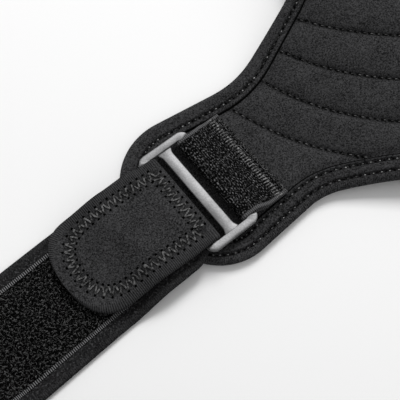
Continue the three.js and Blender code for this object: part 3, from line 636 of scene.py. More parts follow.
def make_band():
    """The band's section at stations along the outline: flat underneath, half a circle round the pad's
    edge, the stitched top, and the inner side that grips the pad."""
    distances = np.append(np.arange(0, walk_length, BAND_STEP), walk_length)
    points, inward = stations(distances)
    inward[-1] = (-1, 0)
    at = distances[:, None]
    width = band_width(at)
    turn = np.radians(np.linspace(-90, 90, EDGE_POINTS))[None]
    top = BAND_ROUND + (width - BAND_ROUND) * np.linspace(0, 1, TOP_POINTS + 1)[None, 1:]
    tucked = [width if inset is None else inset for inset, _ in TUCKED]
    margin = columns(width, BAND_ROUND + 1, BAND_ROUND - BAND_ROUND * np.cos(turn), top, *tucked)
    height = columns(0, 0, BAND_ROUND + BAND_ROUND * np.sin(turn), band_height(top, at),
                     *[level for _, level in TUCKED])
    x = points[:, None, 0] + inward[:, None, 0] * margin
    y = points[:, None, 1] + inward[:, None, 1] * margin
    beyond = np.where(height < BAND_ROUND * 1.5, -BAND_ROUND * math.pi, margin - BAND_ROUND)
    uv = np.stack(np.broadcast_arrays(at, beyond), -1) * MM
    gap = np.minimum(*(np.abs(margin - row) for row in band_rows(at)))
    # The seam and row marks steer the band's painted shade; only its top carries them.
    marks = {"seam": width - margin, "row": gap}
    marks = {key: with_mirror(np.where(height > 4, value, FAR)[..., None], 1) for key, value in marks.items()}
    piece = skin("edge_band", with_mirror(to_frame(x, y, lift(x, y) + height)), edging,
                 "panel_binding", uv=with_mirror(uv), marks=marks, caps=True)


def band_stitches():
    """Light stitches along the band's rows, a little uneven, and near-black pieces beside them, painted shade
    in the holes.
    """
    rng = np.random.default_rng(3)
    for name, number, last, thread, hole in BAND_ROWS:
        at = np.arange(STITCH_PITCH, last, STITCH_PITCH)
        at = at + rng.uniform(-0.3, 0.3, len(at))
        wide = rng.uniform(0.7, 1.3, len(at))
        for word, span, uneven, radius, above, material in (
                ("stitches", STITCH, 1, thread, STITCH_ABOVE, light_thread),
                ("dents", DENT_SHADE, wide, hole, DENT_SHADE_ABOVE, dent_shade)):
            ends = []
            for offset in span:
                place, into = stations(at + offset * uneven)
                x, y = (place + into * band_rows(at + offset)[number][:, None]).T
                height = lift(x, y) + BAND_TOP + above
                ends.append(np.concatenate([to_frame(sign * x, y, height) for sign in (-1, 1)]))
            sew(f"{name}_row_{word}", *ends, radius, BAND_ARCH, material, "edging")


make_band()
band_stitches()


# The slides: cast metal with two slots. The end bars stand a little proud of the three long bars and
# of a thin rim round them, and all edges are rounded.
SLIDE_LENGTH, SLIDE_WIDTH = 60.0, 29.6
END_BAR, LONG_BAR, MIDDLE_BAR = 3.8, 5.0, 5.8
SLIDE_BOTTOM, BAR_THICK, END_THICK = 8.8, 1.8, 2.8
OUTER_CORNER, SLOT_CORNER, CORNER_POINTS = 4.5, 1.6, 12
SLOT_U, SLOT_V = SLIDE_WIDTH / 2 - LONG_BAR, SLIDE_LENGTH / 2 - END_BAR
GROOVE_IN = 0.45
BAR_POINTS, BAR_FLARE, FLARE_RUN = 61, 0.38, 3.6
BAR_SECTION = [(-1, 0.4, 0), (-1, 1.3, 0), (-1, 1.62, 0.14), (-1, 1.78, 0.5), (1, 1.78, 0.5), (1, 1.62, 0.14),
               (1, 1.3, 0), (1, 0.4, 0), (1, 0.03, 0.4), (-1, 0.03, 0.4)]  # side, height and inset


def at_slide(u, v, z, side=1):
    """A place in the slide's own frame, u along the strap and v across it, in millimetres. side is -1
    at the front."""
    x = slide_plan[0] + axis[0] * u + across[0] * v
    return to_frame(x, slide_plan[1] + axis[1] * u + across[1] * v, z) * (side, 1, 1)


def metal_look(where, u, v):
    """Satin cast metal: a fine grain, with slow patches of wear."""
    grain = where.noise(0.9, 4.0)
    wear = where.noise(8)
    tone = (grain * 0.45 + wear * 0.55).ramp(0.3, 0.75)
    return tone.mix((0.18, 0.18, 0.183), (0.31, 0.31, 0.315)), grain * 0.04, wear * 0.14 + 0.46


metal = finish("metal", metal_look, Metallic=0.9)


def rounded_outline(half_u, half_v, radius):
    """A rectangle with round corners as points, anticlockwise."""
    corners = []
    for turn, corner in enumerate([(1, 1), (-1, 1), (-1, -1), (1, -1)]):
        angle = np.linspace(0, 90, CORNER_POINTS) + turn * 90
        corners.append(np.array(corner) * (half_u - radius, half_v - radius) + radius * heading(angle))
    return np.concatenate(corners)


def make_slide(name, side, node):
    """The end bars and the outer long bars are one ring with a rounded section, higher at its ends and
    grooved there along its outer side. The middle bar widens where it meets the end bars."""
    outer = rounded_outline(SLIDE_WIDTH / 2, SLIDE_LENGTH / 2, OUTER_CORNER)
    inner = rounded_outline(SLOT_U, SLOT_V, SLOT_CORNER)
    middle, half_wall = (outer + inner) / 2, (outer - inner) / 2
    wall = np.linalg.norm(half_wall, axis=1)[:, None]
    raised = smooth((np.abs(middle[:, 1:]) - SLOT_V + 1.0) / 1.2)
    top = SLIDE_BOTTOM + BAR_THICK + (END_THICK - BAR_THICK) * raised
    low = SLIDE_BOTTOM + 0 * top
    high_lip, low_lip, cut = top - 0.55 - 0.4 * raised, top - 0.65 - 0.85 * raised, GROOVE_IN * raised
    outside = [(1.0, top), (0.5, top - 0.02), (0.22, top - 0.12), (0.06, top - 0.28), (0, top - 0.5),
               (0, high_lip), (cut, high_lip - 0.05), (cut, low_lip + 0.05), (0, low_lip), (0, low + 0.4),
               (0.35, low)]
    inside = [(0.35, low), (0, low + 0.4), (0, top - 0.45), (0.12, top - 0.14), (0.4, top)]
    place = columns(*[1 - inset / wall for inset, _ in outside], *[-1 + inset / wall for inset, _ in inside])
    plan = middle[:, None] + half_wall[:, None] * place[..., None]
    ring = np.concatenate([plan, columns(*[level for _, level in outside + inside])[..., None]], -1)
    ring = np.concatenate([ring, ring[:1]])
    skin(name, at_slide(*ring.transpose(2, 0, 1), side), metal, node, merge=True)
    v = np.linspace(-SLOT_V - 1.0, SLOT_V + 1.0, BAR_POINTS)[:, None]
    flare = smooth((np.abs(v) - SLOT_V + FLARE_RUN) / FLARE_RUN) ** 1.5
    edge, height, inset = np.array(BAR_SECTION).T
    u = edge * (MIDDLE_BAR / 2 * (1 + BAR_FLARE * flare) - inset)
    skin(name + "_bar", at_slide(u, v, SLIDE_BOTTOM + height, side), metal, caps=True)


make_slide("front_slide", -1, "front_ring")
make_slide("back_slide", 1, "back_ring")


# The chest strap: padded webbing with a knit face, threaded round both slides. The loop is one piece,
# and each fold with its turned-back end is another, joined to it under the bar.
STRAP_WIDTH, STRAP_THICK, STRAP_EDGE, TURNED_WIDTH, NARROWING = 60.2, 2.8, 1.4, 52.6, 8.0
TAPE_THICK, GAP = 0.8, 0.3
DIRECTION, FLAT_RUN, TWIST_RUN, LOOP_BOTTOM, LEAVE, ARRIVE = -41.6, 102.0, 88.0, 217.0, 100.0, 166.0
TURNED_LENGTH, TURNED_DIRECTION, ROUND_RUN, SQUARENESS = 61.8, -36.3, 20.0, 2.5
STRAP_SHIFT, RAMP_START, RAMP_RUN = 1.5, 6.0, 24.0
ON_LOBE = 5.7
FOLD_STEPS, LOOP_STEP, TURNED_STEP, TIP_POINTS, SIDE_POINTS = 17, 1.4, 0.9, 40, 9
slide_edge, fold_at = SLIDE_WIDTH / 2, SLOT_U
turned_tip = slide_edge + TURNED_LENGTH
lobe_edge = (tip_place - slide_plan) @ axis
neck_width = 2 * SLOT_V - 2 * GAP
bar_middle = SLIDE_BOTTOM + BAR_THICK / 2
fold_radius = BAR_THICK / 2 + GAP + STRAP_THICK / 2
half_thick = STRAP_THICK / 2
bar_line, axis_line = np.append(across, 0), np.append(axis, 0)


def strip(name, line, bottom, top, material, node, edge=0.9, rows=24, relief=None):
    """A strip from bottom to top off its line, with edges rounded by edge. relief adds to the upper side
    by the line's u and the place across. The mesh keeps the distance from the edge as rim, and the
    line's own marks, round and sewn."""
    u, along, half = line["u"][:, None], line["along"][:, None], line["size"][:, None] / 2
    thick = top - bottom
    corner = min(edge, thick / 2)
    bend = np.linspace(0, math.pi, SIDE_POINTS)[None, 1:-1]
    face_v = np.linspace(-1, 1, rows + 1)[None] * (half - corner)
    side_v = half - corner + corner * np.sin(bend)
    side_h = (top + bottom) / 2 + thick / 2 * np.cos(bend) + 0 * half
    upper_h, lower_h = np.full(face_v.shape, top), np.full(face_v.shape, bottom)
    if relief:
        upper_h = upper_h + relief(u + 0 * face_v, face_v) * smooth((half - np.abs(face_v) - corner) / 1.5)
    v = columns(face_v, side_v, face_v[:, ::-1], -side_v[:, ::-1])
    h = columns(upper_h, side_h, lower_h, side_h[:, ::-1])
    off = line["width"][:, None] * v[..., None] + line["face"][:, None] * h[..., None]
    marks = {"rim": half - np.abs(v)}
    for key in ("round", "sewn"):
        if key in line:
            marks[key] = line[key](u + 0 * v, v)
    uv = np.stack(np.broadcast_arrays(along, v), -1) * MM
    return skin(name, line["middle"][:, None] + off * MM, material, node, uv=uv, marks=marks, caps=True)


def line_of(u, middle, width, face, size):
    """A strip's line: u along the slide's axis, places in metres, the directions of the strip's width
    and face there, and how wide it is."""
    width, face = (np.broadcast_to(direction, middle.shape) for direction in (width, face))
    return {"u": u, "middle": middle, "width": width, "face": face, "size": np.broadcast_to(size, u.shape)}


def underside(u):
    """The strap's underside: on the lobe, then down to the table."""
    return ON_LOBE * (1 - smooth((u - lobe_edge - RAMP_START) / RAMP_RUN))


def strap_side(u):
    """How far the strap lies beside the slide's axis, as it leaves at its own angle."""
    lean = math.tan(math.radians(DIRECTION - AXIS))
    return STRAP_SHIFT * smooth((u - slide_edge) / STRAP_WIDTH) + np.maximum(u - slide_edge, 0) * lean


def turned_side(u):
    """How far the turned-back end lies beside the slide's axis."""
    return np.maximum(u - slide_edge, 0) * math.tan(math.radians(TURNED_DIRECTION - AXIS))


def turned_height(u):
    """The middle of the turned-back end: over the bar, then on the tapes."""
    widen = smooth((u - slide_edge) / NARROWING)
    over_tapes = underside(u) + STRAP_THICK * 1.5 + 2 * TAPE_THICK + 3 * GAP
    return (bar_middle + fold_radius) * (1 - widen) + over_tapes * widen


def lower_line():
    """The strap from the fold over the lobe and along the table, as far as it lies flat."""
    u = np.arange(fold_at, slide_edge + FLAT_RUN, 1.0)
    turn = smooth((u - lobe_edge - RAMP_START - RAMP_RUN) / (STRAP_WIDTH / 2))[:, None]
    width = unit(bar_line * (1 - turn) + np.append(heading(DIRECTION + 90), 0) * turn)
    widen = smooth((u - fold_at) / (slide_edge + NARROWING - fold_at))
    return line_of(u, at_slide(u, strap_side(u), underside(u) + half_thick), width, UP,
                   neck_width + (STRAP_WIDTH - neck_width) * widen)


def loop_line():
    """The loop round the body: the strap turns up on its edge as it leaves the flat run, and a cubic
    curve leads it to the middle of the loop."""
    end = slide_edge + FLAT_RUN
    start = at_slide(end, strap_side(end), 0.0)[:2] / MM
    low = shift_y - LOOP_BOTTOM
    a, b, c, d = np.array([start, start + heading(DIRECTION) * LEAVE, (ARRIVE, low), (0, low)])
    t = np.linspace(0, 1, 1201)[:, None]
    place = (1 - t) ** 3 * a + 3 * (1 - t) ** 2 * t * b + 3 * (1 - t) * t * t * c + t ** 3 * d
    run = np.concatenate([[0], np.cumsum(np.linalg.norm(np.diff(place, axis=0), axis=1))])
    s = np.linspace(0, run[-1], int(run[-1] / LOOP_STEP))
    p = np.stack([np.interp(s, run, column) for column in place.T], 1)
    ahead = unit(np.gradient(p, axis=0))
    ahead[-1] = (-1, 0)
    twist = math.pi / 2 * smooth(s / TWIST_RUN)[:, None]
    out = np.stack([-ahead[:, 1], ahead[:, 0], 0 * s], 1)
    z = STRAP_WIDTH / 2 * np.sin(twist) + half_thick * np.cos(twist)
    return line_of(end + s, np.concatenate([p, z], 1) * MM, out * np.cos(twist) - UP * np.sin(twist),
                   out * np.sin(twist) + UP * np.cos(twist), STRAP_WIDTH)


def fold_line():
    """The fold round the outer bar, from the lower layer to the turned-back end."""
    turn = np.radians(-90 - np.arange(1, FOLD_STEPS) * 180 / FOLD_STEPS)[:, None]
    u = fold_at + fold_radius * np.cos(turn[:, 0])
    return line_of(u, at_slide(u, 0, bar_middle + fold_radius * np.sin(turn[:, 0])), bar_line,
                   axis_line * np.cos(turn) + UP * np.sin(turn), neck_width)


def turned_line():
    """The turned-back end, seen from above. Its tip is half of an oval, squarer than an ellipse."""
    start = turned_tip - ROUND_RUN
    oval = 1 - (1 - np.linspace(0, 1, TIP_POINTS)[1:]) ** 2.2
    u = np.concatenate([np.arange(fold_at, start, TURNED_STEP), [start], start + ROUND_RUN * oval * 0.9995])
    widen = smooth((u - slide_edge) / NARROWING)
    left = (1 - (np.maximum(u - start, 0) / ROUND_RUN) ** SQUARENESS) ** (1 / SQUARENESS)
    return line_of(u, at_slide(u, turned_side(u), turned_height(u)), bar_line, UP,
                   (neck_width + (TURNED_WIDTH - neck_width) * widen) * left)


def joined(first, *others):
    """A line and others after it, each without its first point, with the distance along them."""
    keys = ("u", "middle", "width", "face", "size")
    line = {key: np.concatenate([first[key], *[other[key][1:] for other in others]]) for key in keys}
    steps = np.linalg.norm(np.diff(line["middle"], axis=0), axis=1)
    line["along"] = np.concatenate([[0], np.cumsum(steps)]) / MM
    return line


def mirrored(line):
    """The line on the other side of the plane x = 0, walked the same way."""
    vectors = {key: line[key] * (-1, 1, 1) for key in ("middle", "width", "face")}
    return {**line, **vectors}


def backwards(line):
    """The line walked the other way."""
    return {key: value[::-1] for key, value in line.items()}


def part_of(line, keep):
    """The points of a line that keep picks."""
    return {key: value[keep] for key, value in line.items()}


def webbing_look(where, u, v):
    """The knit face: fleecy beside the tape, and darker with faint ribs over the rolled edges."""
    tone, relief = knit_face(where)
    edge = where.mark("rim").fade(2.4, 3.6)
    rib = u.wave(RIB_PITCH) * edge
    fleck = where.noise(0.9, 3.0).ramp(0.5, 0.7)
    margin = (1 - edge) * (tone * 0.3 + fleck * 0.75)
    face = margin + edge * (tone * 0.55 + rib * 0.12)
    return face.mix(KNIT_DARK, KNIT_LIGHT), relief + (rib + fleck) * 0.12


def turned_look(where, u, v):
    """The knit face, with painted shade in the groove that the zigzag draws in, and strong fine ribs from
    there over the rolled edge.
    """
    tone, relief = knit_face(where)
    ribbed = (where.mark("rim") + (where.noise(3) - 0.5) * 2).fade(3.8, 6.4)
    rib = where.mark("round").wave(RIB_PITCH) * ribbed
    # Painted shade in the groove that the zigzag draws into the face.
    drawn = (where.mark("sewn") + (where.noise(1.4) - 0.5) * 2.2).fade(0.8, 3.6) * 0.45
    face = (tone * (1 - ribbed * 0.5) + rib * 0.5).mix(KNIT_DARK, KNIT_LIGHT)
    return drawn.mix(face, SHADE_BLACK), relief + rib * 0.25


lower, fold, turned = lower_line(), fold_line(), turned_line()
half_strap = joined(lower, loop_line())
whole_strap = joined(half_strap, backwards(mirrored(half_strap)))
webbing = finish("webbing", webbing_look, 0.95, **CLOTH)
strap_piece = strip("strap_loop", whole_strap, -half_thick, half_thick, webbing, "chest_strap",
                    edge=STRAP_EDGE, rows=14)


# The strap's turned-back ends: the same webbing, rounded at the tip, with its edges turned in and held
# by a zigzag of doubled thread that runs all round.
ZIGZAG_MARGIN, ZIGZAG_WIDE, ZIGZAG_PITCH, ZIGZAG_BACK = 8.2, 5.0, 3.4, -3.0
ZIGZAG_THREAD, ZIGZAG_ARCH, ZIGZAG_APART, ZIGZAG_ABOVE, ZIGZAG_STEPS = 0.19, 0.12, 0.2, 0.15, 8
# The hole values place near-black pieces at the zigzag's turns: painted shade in the needle holes.
HOLE_RADIUS, HOLE_LENGTH, HOLE_OUT, HOLE_ABOVE, HOLE_ARCH = 0.75, 0.75, 1.2, 0.1, 0.02
ZIGZAG_NEAR = 0.8  # how far before and after a turn its direction is taken
TIP_ROUND = 22  # the radius at which ribs are counted round the tip


def zigzag_route():
    """The zigzag's middle line in the turned end's plan, u and v from the slide: down one side, round the
    tip, up the other side and across."""
    start, tip = slide_edge + ZIGZAG_BACK, turned_tip - ZIGZAG_MARGIN
    half = TURNED_WIDTH / 2 - ZIGZAG_MARGIN
    run = ROUND_RUN - ZIGZAG_MARGIN / 3
    t = np.linspace(0, math.pi / 2, 60)
    power = 2 / 2.4
    straight = np.linspace(start, tip - run, 80)
    down_u = np.concatenate([straight, tip - run + run * np.sin(t) ** power])
    down_v = np.concatenate([straight * 0 + half, half * np.cos(t) ** power])
    u = np.concatenate([down_u, down_u[::-1], np.full(60, start)])
    v = np.concatenate([down_v, -down_v[::-1], np.linspace(-half, half, 60)])
    return u, v + turned_side(u)


zigzag_u, zigzag_v = zigzag_route()


def from_zigzag(u, v):
    """The distance of a place on the turned end from the middle of the zigzag."""
    return np.sqrt((u[..., None] - zigzag_u[::4]) ** 2 + (v[..., None] - zigzag_v[::4]) ** 2).min(-1)


def turned_relief(u, v):
    """The turned end's face: drawn in along the zigzag, and puffed inside and outside."""
    away = from_zigzag(u, v)
    return (0.5 * smooth(away / 8.0) - 0.42 * dip(away, 3.2)) * smooth((u - fold_at) / 4.0)


def turned_round(u, v):
    """The way round the turned end: along its sides, and round its tip by the angle."""
    start = turned_tip - ROUND_RUN
    angle = np.arctan2(np.abs(v), np.maximum(u - start, 0) + 1e-6)
    return np.where(u < start, u, start + (math.pi / 2 - angle) * TIP_ROUND)


turned_webbing = finish("turned webbing", turned_look, 0.95, **CLOTH)
zigzag_thread = finish("zigzag thread", thread_look(0.015, 0.2), 0.7, **CLOTH)


def turned_end(name, side):
    """The fold and the turned-back end as one strip."""
    line = {key: np.concatenate([fold[key], turned[key]]) for key in fold}
    # The sewn mark is the distance from the zigzag, which steers its painted shade.
    line = {**joined(line), "round": turned_round, "sewn": lambda u, v: from_zigzag(u, v + turned_side(u))}
    piece = strip(name, mirrored(line) if side < 0 else line, -half_thick, half_thick, turned_webbing,
                  "chest_strap", edge=STRAP_EDGE, rows=56,
                  relief=lambda u, v: turned_relief(u, v + turned_side(u)))


def zigzag(name, side):
    """The zigzag's threads, doubled, and near-black pieces at its turns, painted shade in the needle holes.
    """
    run = np.concatenate([[0], np.cumsum(np.hypot(np.diff(zigzag_u), np.diff(zigzag_v)))])
    at = np.arange(0, run[-1], ZIGZAG_PITCH / 2)
    cu, cv = np.interp(at, run, zigzag_u), np.interp(at, run, zigzag_v)
    du, dv = (np.interp(at + ZIGZAG_NEAR, run, way) - np.interp(at - ZIGZAG_NEAR, run, way)
              for way in (zigzag_u, zigzag_v))
    norm = np.hypot(du, dv) + 1e-9
    swing = np.where(np.arange(len(at)) % 2, 0.5, -0.5) * ZIGZAG_WIDE

    def place(shift, out, above):
        """The turns, moved along the zigzag by shift and set out times as far from its middle."""
        u = cu - dv / norm * swing * out + du / norm * shift
        v = cv + du / norm * swing * out + dv / norm * shift
        return at_slide(u, v, turned_height(u) + half_thick + turned_relief(u, v) + above, side)

    turns = [place(shift, 1, ZIGZAG_ABOVE) for shift in (-ZIGZAG_APART, ZIGZAG_APART)]
    starts, ends = (np.concatenate([turn[part] for turn in turns]) for part in (slice(-1), slice(1, None)))
    sew(name, starts, ends, ZIGZAG_THREAD, ZIGZAG_ARCH, zigzag_thread, "webbing", steps=ZIGZAG_STEPS)
    holes = [place(shift, HOLE_OUT, HOLE_ABOVE) for shift in (-HOLE_LENGTH, HOLE_LENGTH)]
    sew(name + "_dents", *holes, HOLE_RADIUS, HOLE_ARCH, dent_shade, "webbing")


for side, word in ((-1, "front"), (1, "back")):
    turned_end(word + "_turned_end", side)
    zigzag(word + "_zigzag", side)


# The loop tape: a knit ground covered with curly loops, between two ladder-like selvedges. Single
# loops are made where the strap lies flat, and the rest of the tape is a lumpy pile.
TAPE_WIDTH, TAPE_START, TAPE_GROUND, TAPE_OFF, LADDER = 45.6, 9.0, 0.45, 0.05, 2.0
CURL_SPACING, CURL_JITTER, CURL_THREAD, CURL_POINTS, CURLS_PAST = 0.98, 0.6, 0.14, 6, 14
tape_bottom = half_thick + TAPE_OFF
tape_top = tape_bottom + TAPE_GROUND


def cells(where, size):
    """The distance to the nearest of points that lie about size apart, as a share of size."""
    return where.add("ShaderNodeTexVoronoi", Vector=where, Scale=1 / (size * MM)).out("Distance")


def pile_look(where, u, v):
    """A dark ground with lumps of pile, between pale selvedges ribbed like a ladder."""
    lump = 1 - cells(where, 1.3)
    strand = where.noise(0.6, 4.0)
    pile_colour = (lump * 0.5 + strand * 0.6).ramp(0.62, 1.0).mix(0.001, (0.012, 0.012, 0.0125))
    selvedge = where.mark("rim").fade(LADDER - 0.3, LADDER)
    rung = u.wave(1.0)
    rung_colour = (rung * 0.7 + strand * 0.6).ramp(0.4, 1.1).mix(0.004, (0.2, 0.2, 0.205))
    height = (lump * 0.4 + strand * 0.2) * (1 - selvedge) + rung * selvedge * 0.2
    return selvedge.mix(pile_colour, rung_colour), height


pile = finish("pile", pile_look, 0.8, **CLOTH)
curl_thread = finish("curl thread", thread_look(0.001, 0.13), 0.6, **CLOTH)
half_tape = joined(part_of(half_strap, half_strap["u"] >= slide_edge + TAPE_START))
half_tape["size"] = np.full(len(half_tape["u"]), TAPE_WIDTH)
whole_tape = joined(half_tape, backwards(mirrored(half_tape)))
tape_piece = strip("loop_tape", whole_tape, tape_bottom, tape_top, pile, "strap_pile",
                   edge=0.2, rows=8)


def curls(name, side):
    """Single loops of the pile, as bent threads in one mesh. They stand in jittered rows on the flat run,
    each turned its own way and leaning, and keep to the tape."""
    rng = np.random.default_rng(4)
    reach = TAPE_WIDTH / 2 - LADDER - 0.4
    rows = np.arange(slide_edge + TAPE_START, slide_edge + FLAT_RUN + CURLS_PAST, CURL_SPACING)
    grids = np.meshgrid(rows, np.arange(-reach, reach, CURL_SPACING), indexing="ij")
    u, v = (grid.ravel() + rng.uniform(-CURL_JITTER, CURL_JITTER, grid.size) * CURL_SPACING for grid in grids)
    turn, wide, tall, lean = (rng.uniform(low, high, len(u))[:, None]
                              for low, high in ((0, math.pi), (0.35, 0.85), (0.4, 1.2), (-1.2, 1.2)))
    middle, width, face = (np.stack([np.interp(u, half_tape["u"], column) for column in half_tape[key].T], 1)
                           for key in ("middle", "width", "face"))
    ahead = np.cross(width, face)
    flat = (ahead * np.cos(turn) + width * np.sin(turn))[:, None]
    aside = (width * np.cos(turn) - ahead * np.sin(turn))[:, None]
    bend = np.linspace(-0.3, math.pi + 0.3, CURL_POINTS)
    out, height = (np.cos(bend) * wide)[..., None], (np.sin(bend) * tall)[..., None]
    foot = middle + (width * v[:, None] + face * tape_top) * MM
    path = foot[:, None] + (flat * out + face[:, None] * height + aside * height * lean[..., None]) * MM
    tangent = unit(np.gradient(path, axis=1))
    first = unit(np.cross(tangent, aside + 1e-6))
    threads(name, path, first, np.cross(tangent, first), CURL_THREAD * MM, 3, curl_thread, side,
            capped=False)


curls("front_curls", -1)
curls("back_curls", 1)


# The hook tape under each turned-back end: stiff tape with a dense field of tiny hooks, sewn to the
# webbing and pressed onto the pile.
HOOK_WIDTH, HOOK_START, HOOK_MARGIN = 42.0, 16.0, 7.0


def hook_look(where, u, v):
    """Pale heads of hooks at scattered points, raised from a dark ground."""
    hooks = cells(where, 1.4)
    return hooks.ramp(0.1, 0.6).mix((0.03, 0.03, 0.031), 0.006), (1 - hooks) * 0.3


def hook_tape(word, side):
    """A strip of the turned end's line, drawn in from its edges."""
    keep = (turned["u"] >= slide_edge + HOOK_START) & (turned["u"] <= turned_tip - HOOK_MARGIN)
    line = joined(part_of(turned, keep))
    line["size"] = line["size"] - (TURNED_WIDTH - HOOK_WIDTH)
    piece = strip(word + "_hook_tape", mirrored(line) if side < 0 else line, -tape_bottom - TAPE_THICK,
                  -tape_bottom, hook, word + "_hook_patch", edge=0.3)


hook = finish("hook", hook_look, 0.5)
hook_tape("front", -1)
hook_tape("back", 1)


# The elastic tabs: woven elastic folded round the slide's inner bar, with both layers sewn to the pad.
# Rows of knotted weft stand out across it, its selvedges are plain, and a satin row holds its end.
TAB_WIDTH, TAB_THICK, TAB_REACH, TAB_NARROWING, TAB_RISE, TAB_FALL = 54.6, 1.5, 34.2, 9.0, 5.0, 3.2
ROW_PITCH, SELVEDGE = 1.15, 2.1
SATIN_NEAR, SATIN_FAR, SATIN_SLANT, SATIN_PITCH, SATIN_THREAD, SATIN_ARCH = 3.0, 6.6, 1.0, 0.8, 0.26, 0.25
FRAY_PITCH, FRAY_IN, FRAY_THREAD, FRAY_ARCH = 0.75, 1.5, 0.16, 0.2
TAB_TOP_POINTS, TAB_BEND_POINTS, TAB_LOW_POINTS, SATIN_ABOVE, FRAY_BELOW = 60, 17, 40, 0.12, 0.5


def tab_line():
    """The strip from its sewn end along the top, round the bar and back underneath."""
    outer_edge, bend = -slide_edge, -fold_at
    radius = BAR_THICK / 2 + GAP + TAB_THICK / 2
    low = ON_LOBE + TAB_THICK / 2
    climb = bar_middle + radius - low - TAB_THICK
    fall = climb * TAB_FALL
    top_u = np.linspace(-TAB_REACH, bend, TAB_TOP_POINTS)
    top_z = low + TAB_THICK + climb * smooth((top_u - outer_edge + fall) / fall)
    angle = np.radians(np.linspace(90, -90, TAB_BEND_POINTS)[1:-1])
    low_u = np.linspace(bend, -TAB_REACH, TAB_LOW_POINTS)
    low_z = low + (bar_middle - radius - low) * smooth((low_u - outer_edge + TAB_RISE) / TAB_RISE)
    u = np.concatenate([top_u, bend + radius * np.cos(angle), low_u])
    z = np.concatenate([top_z, bar_middle + radius * np.sin(angle), low_z])
    ahead = unit(np.stack([np.gradient(u), np.gradient(z)], 1))
    drawn = 1 - (1 - neck_width / TAB_WIDTH) * smooth(1 + (u - outer_edge) / TAB_NARROWING)
    face = UP * ahead[:, :1] - axis_line * ahead[:, 1:]
    return line_of(u, at_slide(u, 0, z), bar_line, face, TAB_WIDTH * drawn)


def tab_look(where, u, v):
    """Rows of short pale floats across the strip on a black ground, between finely ribbed selvedges."""
    row = (u + (where.noise(7) - 0.5) * 0.9).wave(ROW_PITCH)
    along_floats = where.add("ShaderNodeCombineXYZ", X=u * (MM / 0.7), Y=v * (MM / 1.2))
    spots = where.noise(0.8, 3.0)
    patch = where.noise(6)
    woven = (along_floats.noise(1) * 0.7 + spots * 0.5).ramp(0.58, 0.8) * (patch * 0.6 + 0.55)
    woven = (row * 0.85 + 0.15) * woven
    side = where.mark("rim").fade(SELVEDGE - 0.7, SELVEDGE)
    rib = u.wave(RIB_PITCH) * 0.5 + spots * 0.35
    colour = side.mix(woven.mix(0.001, (0.23, 0.23, 0.235)), rib.mix(0.012, (0.17, 0.17, 0.175)))
    return colour, (row * 0.3 + woven * 0.4) * (1 - side) * 0.4 + rib * side * 0.2


elastic = finish("elastic", tab_look, 0.85, **CLOTH)


def make_tab(word, side):
    """One tab, its satin row of slanted stitches, and the frayed end beyond it."""
    line = joined(tab_line())
    piece = strip(word + "_tab_strip", mirrored(line) if side < 0 else line, -TAB_THICK / 2, TAB_THICK / 2,
                  elastic, word + "_tab", edge=0.7)
    rng = np.random.default_rng(7)
    z = ON_LOBE + 2 * TAB_THICK + SATIN_ABOVE
    v = np.arange(-TAB_WIDTH / 2 + 0.8, TAB_WIDTH / 2 - 0.8, SATIN_PITCH)
    v = v + rng.uniform(-0.12, 0.12, len(v))
    near, far = (u - TAB_REACH + rng.uniform(-0.35, 0.35, len(v)) for u in (SATIN_NEAR, SATIN_FAR))
    slant = np.where(np.arange(len(v)) % 2, SATIN_SLANT, -0.1 * SATIN_SLANT)
    sew(word + "_satin_row", at_slide(near, v, z, side), at_slide(far, v + slant, z, side), SATIN_THREAD,
        SATIN_ARCH, grey_thread, "elastic")
    v = np.arange(-TAB_WIDTH / 2 + 0.5, TAB_WIDTH / 2 - 0.5, FRAY_PITCH)
    v = v + rng.uniform(-0.3, 0.3, len(v))
    tails = at_slide(-TAB_REACH - rng.uniform(-0.2, 0.7, len(v)), v, z - FRAY_BELOW, side)
    roots = at_slide(FRAY_IN - TAB_REACH, v + rng.uniform(-0.5, 0.5, len(v)), z, side)
    sew(word + "_frayed_end", tails, roots, FRAY_THREAD, FRAY_ARCH, dark_thread, "elastic")


make_tab("front", -1)
make_tab("back", 1)


# The arm sleeve and its hem: a padded tube of the pad's foam sheet that lies flattened, and a band
# folded over its open end. The tube ends in the hem's fold.
SLEEVE_LENGTH, SLEEVE_HALF, SLEEVE_WALL, SLEEVE_SAG = 120.0, 78.0, 4.0, 1.5
SLEEVE_END_HALF, SLEEVE_END_HEIGHT = 70.0, 28.0
SEAM_ROUND, TUCKED_IN, HEM_THICK, HEM_TUCKED = 1.6, 1.2, 0.9, 1.0
OUTSIDE_RINGS, INSIDE_RINGS, SEAM_RINGS, HEM_RINGS, FOLD_RINGS, QUARTER_POINTS = 50, 30, 9, 8, 13, 40


def sleeve_ring(share, margin):
    """Rings of points round the sleeve at shares of its length, drawn in by margins: a flat underside,
    round sides and a sagging top."""
    share, margin = share[:, None], margin[:, None]
    r = (sleeve_height + (SLEEVE_END_HEIGHT - sleeve_height) * share) / 2
    flat = SLEEVE_HALF + (SLEEVE_END_HALF - SLEEVE_HALF) * share - r
    t = np.linspace(-1, 1, QUARTER_POINTS, endpoint=False)[None]
    side_x = flat + (r - margin) * np.cos(math.pi / 2 * t)
    side_z = (r - margin) * np.sin(math.pi / 2 * t)
    sag = SLEEVE_SAG * np.sin(math.pi * share) * np.cos(math.pi / 2 * t) ** 2
    return (columns(flat * t, side_x, -flat * t, -side_x),
            columns(margin + 0 * t, r + side_z, 2 * r - margin - sag, r - side_z))


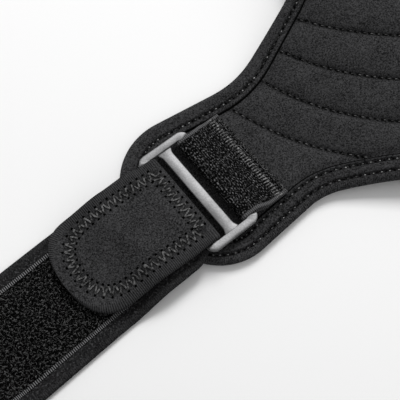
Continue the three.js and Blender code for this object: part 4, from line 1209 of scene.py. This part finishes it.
def sleeve_skin(name, profile, material, node):
    """A closed tube whose wall's profile is rows of distance from the seam and margin from the outside."""
    along, margin = np.array(profile).T
    x, z = sleeve_ring(along / SLEEVE_LENGTH, margin)
    points = to_frame(x, seam_y + GAP + along[:, None] + 0 * x, z)
    points = np.concatenate([points, points[:1]])
    around = np.linspace(0, 4 * SLEEVE_HALF, points.shape[1])
    uv = np.stack(np.broadcast_arrays(around[None], np.append(along, along[0])[:, None]), -1) * MM
    # Far from any seam or row, so the band's painted shade stays off the sleeve and its hem.
    marks = {key: np.full(points.shape[:2], FAR) for key in ("seam", "row")}
    return skin(name, points, material, node, uv=uv, marks=marks, merge=True)


def wall_round(middle, bulge, turns):
    """The half circle that joins the wall's inside and outside, bulging by bulge past middle."""
    return [(middle + bulge * math.cos(t), SLEEVE_WALL / 2 * (1 - math.sin(t))) for t in turns]


hem_start, hem_round = SLEEVE_LENGTH - SIDE_BAND, SLEEVE_LENGTH - SLEEVE_WALL / 2
tube_end, tongue_end = hem_start - GAP, SLEEVE_LENGTH - TUCKED_IN
half_turn = np.linspace(math.pi / 2, -math.pi / 2, FOLD_RINGS)
sleeve_profile = [(a, 0.0) for a in np.linspace(SEAM_ROUND, tube_end, OUTSIDE_RINGS)]
sleeve_profile += [(tube_end, TUCKED_IN), (tongue_end, TUCKED_IN)]
sleeve_profile += [(tongue_end, SLEEVE_WALL - TUCKED_IN), (tube_end, SLEEVE_WALL - TUCKED_IN)]
sleeve_profile += [(a, SLEEVE_WALL) for a in np.linspace(tube_end, SEAM_ROUND, INSIDE_RINGS)]
seam_turn = np.linspace(-math.pi / 2, math.pi / 2, SEAM_RINGS)[1:-1]
sleeve_profile += wall_round(SEAM_ROUND, -SEAM_ROUND, seam_turn)
sleeve_piece = sleeve_skin("padded_sleeve", sleeve_profile, padding, "arm_sleeve")
hem_profile = [(a, 0.0) for a in np.linspace(hem_start, hem_round, HEM_RINGS)[:-1]]
hem_profile += wall_round(hem_round, SLEEVE_WALL / 2, half_turn)
hem_profile += [(a, SLEEVE_WALL) for a in np.linspace(hem_round, hem_start, HEM_RINGS)[1:]]
hem_profile += [(hem_start, SLEEVE_WALL - HEM_THICK), (SLEEVE_LENGTH - HEM_TUCKED, SLEEVE_WALL - HEM_THICK)]
hem_profile += [(SLEEVE_LENGTH - HEM_TUCKED, HEM_THICK), (hem_start, HEM_THICK)]
hem_piece = sleeve_skin("sleeve_hem", hem_profile, edging, "sleeve_binding")
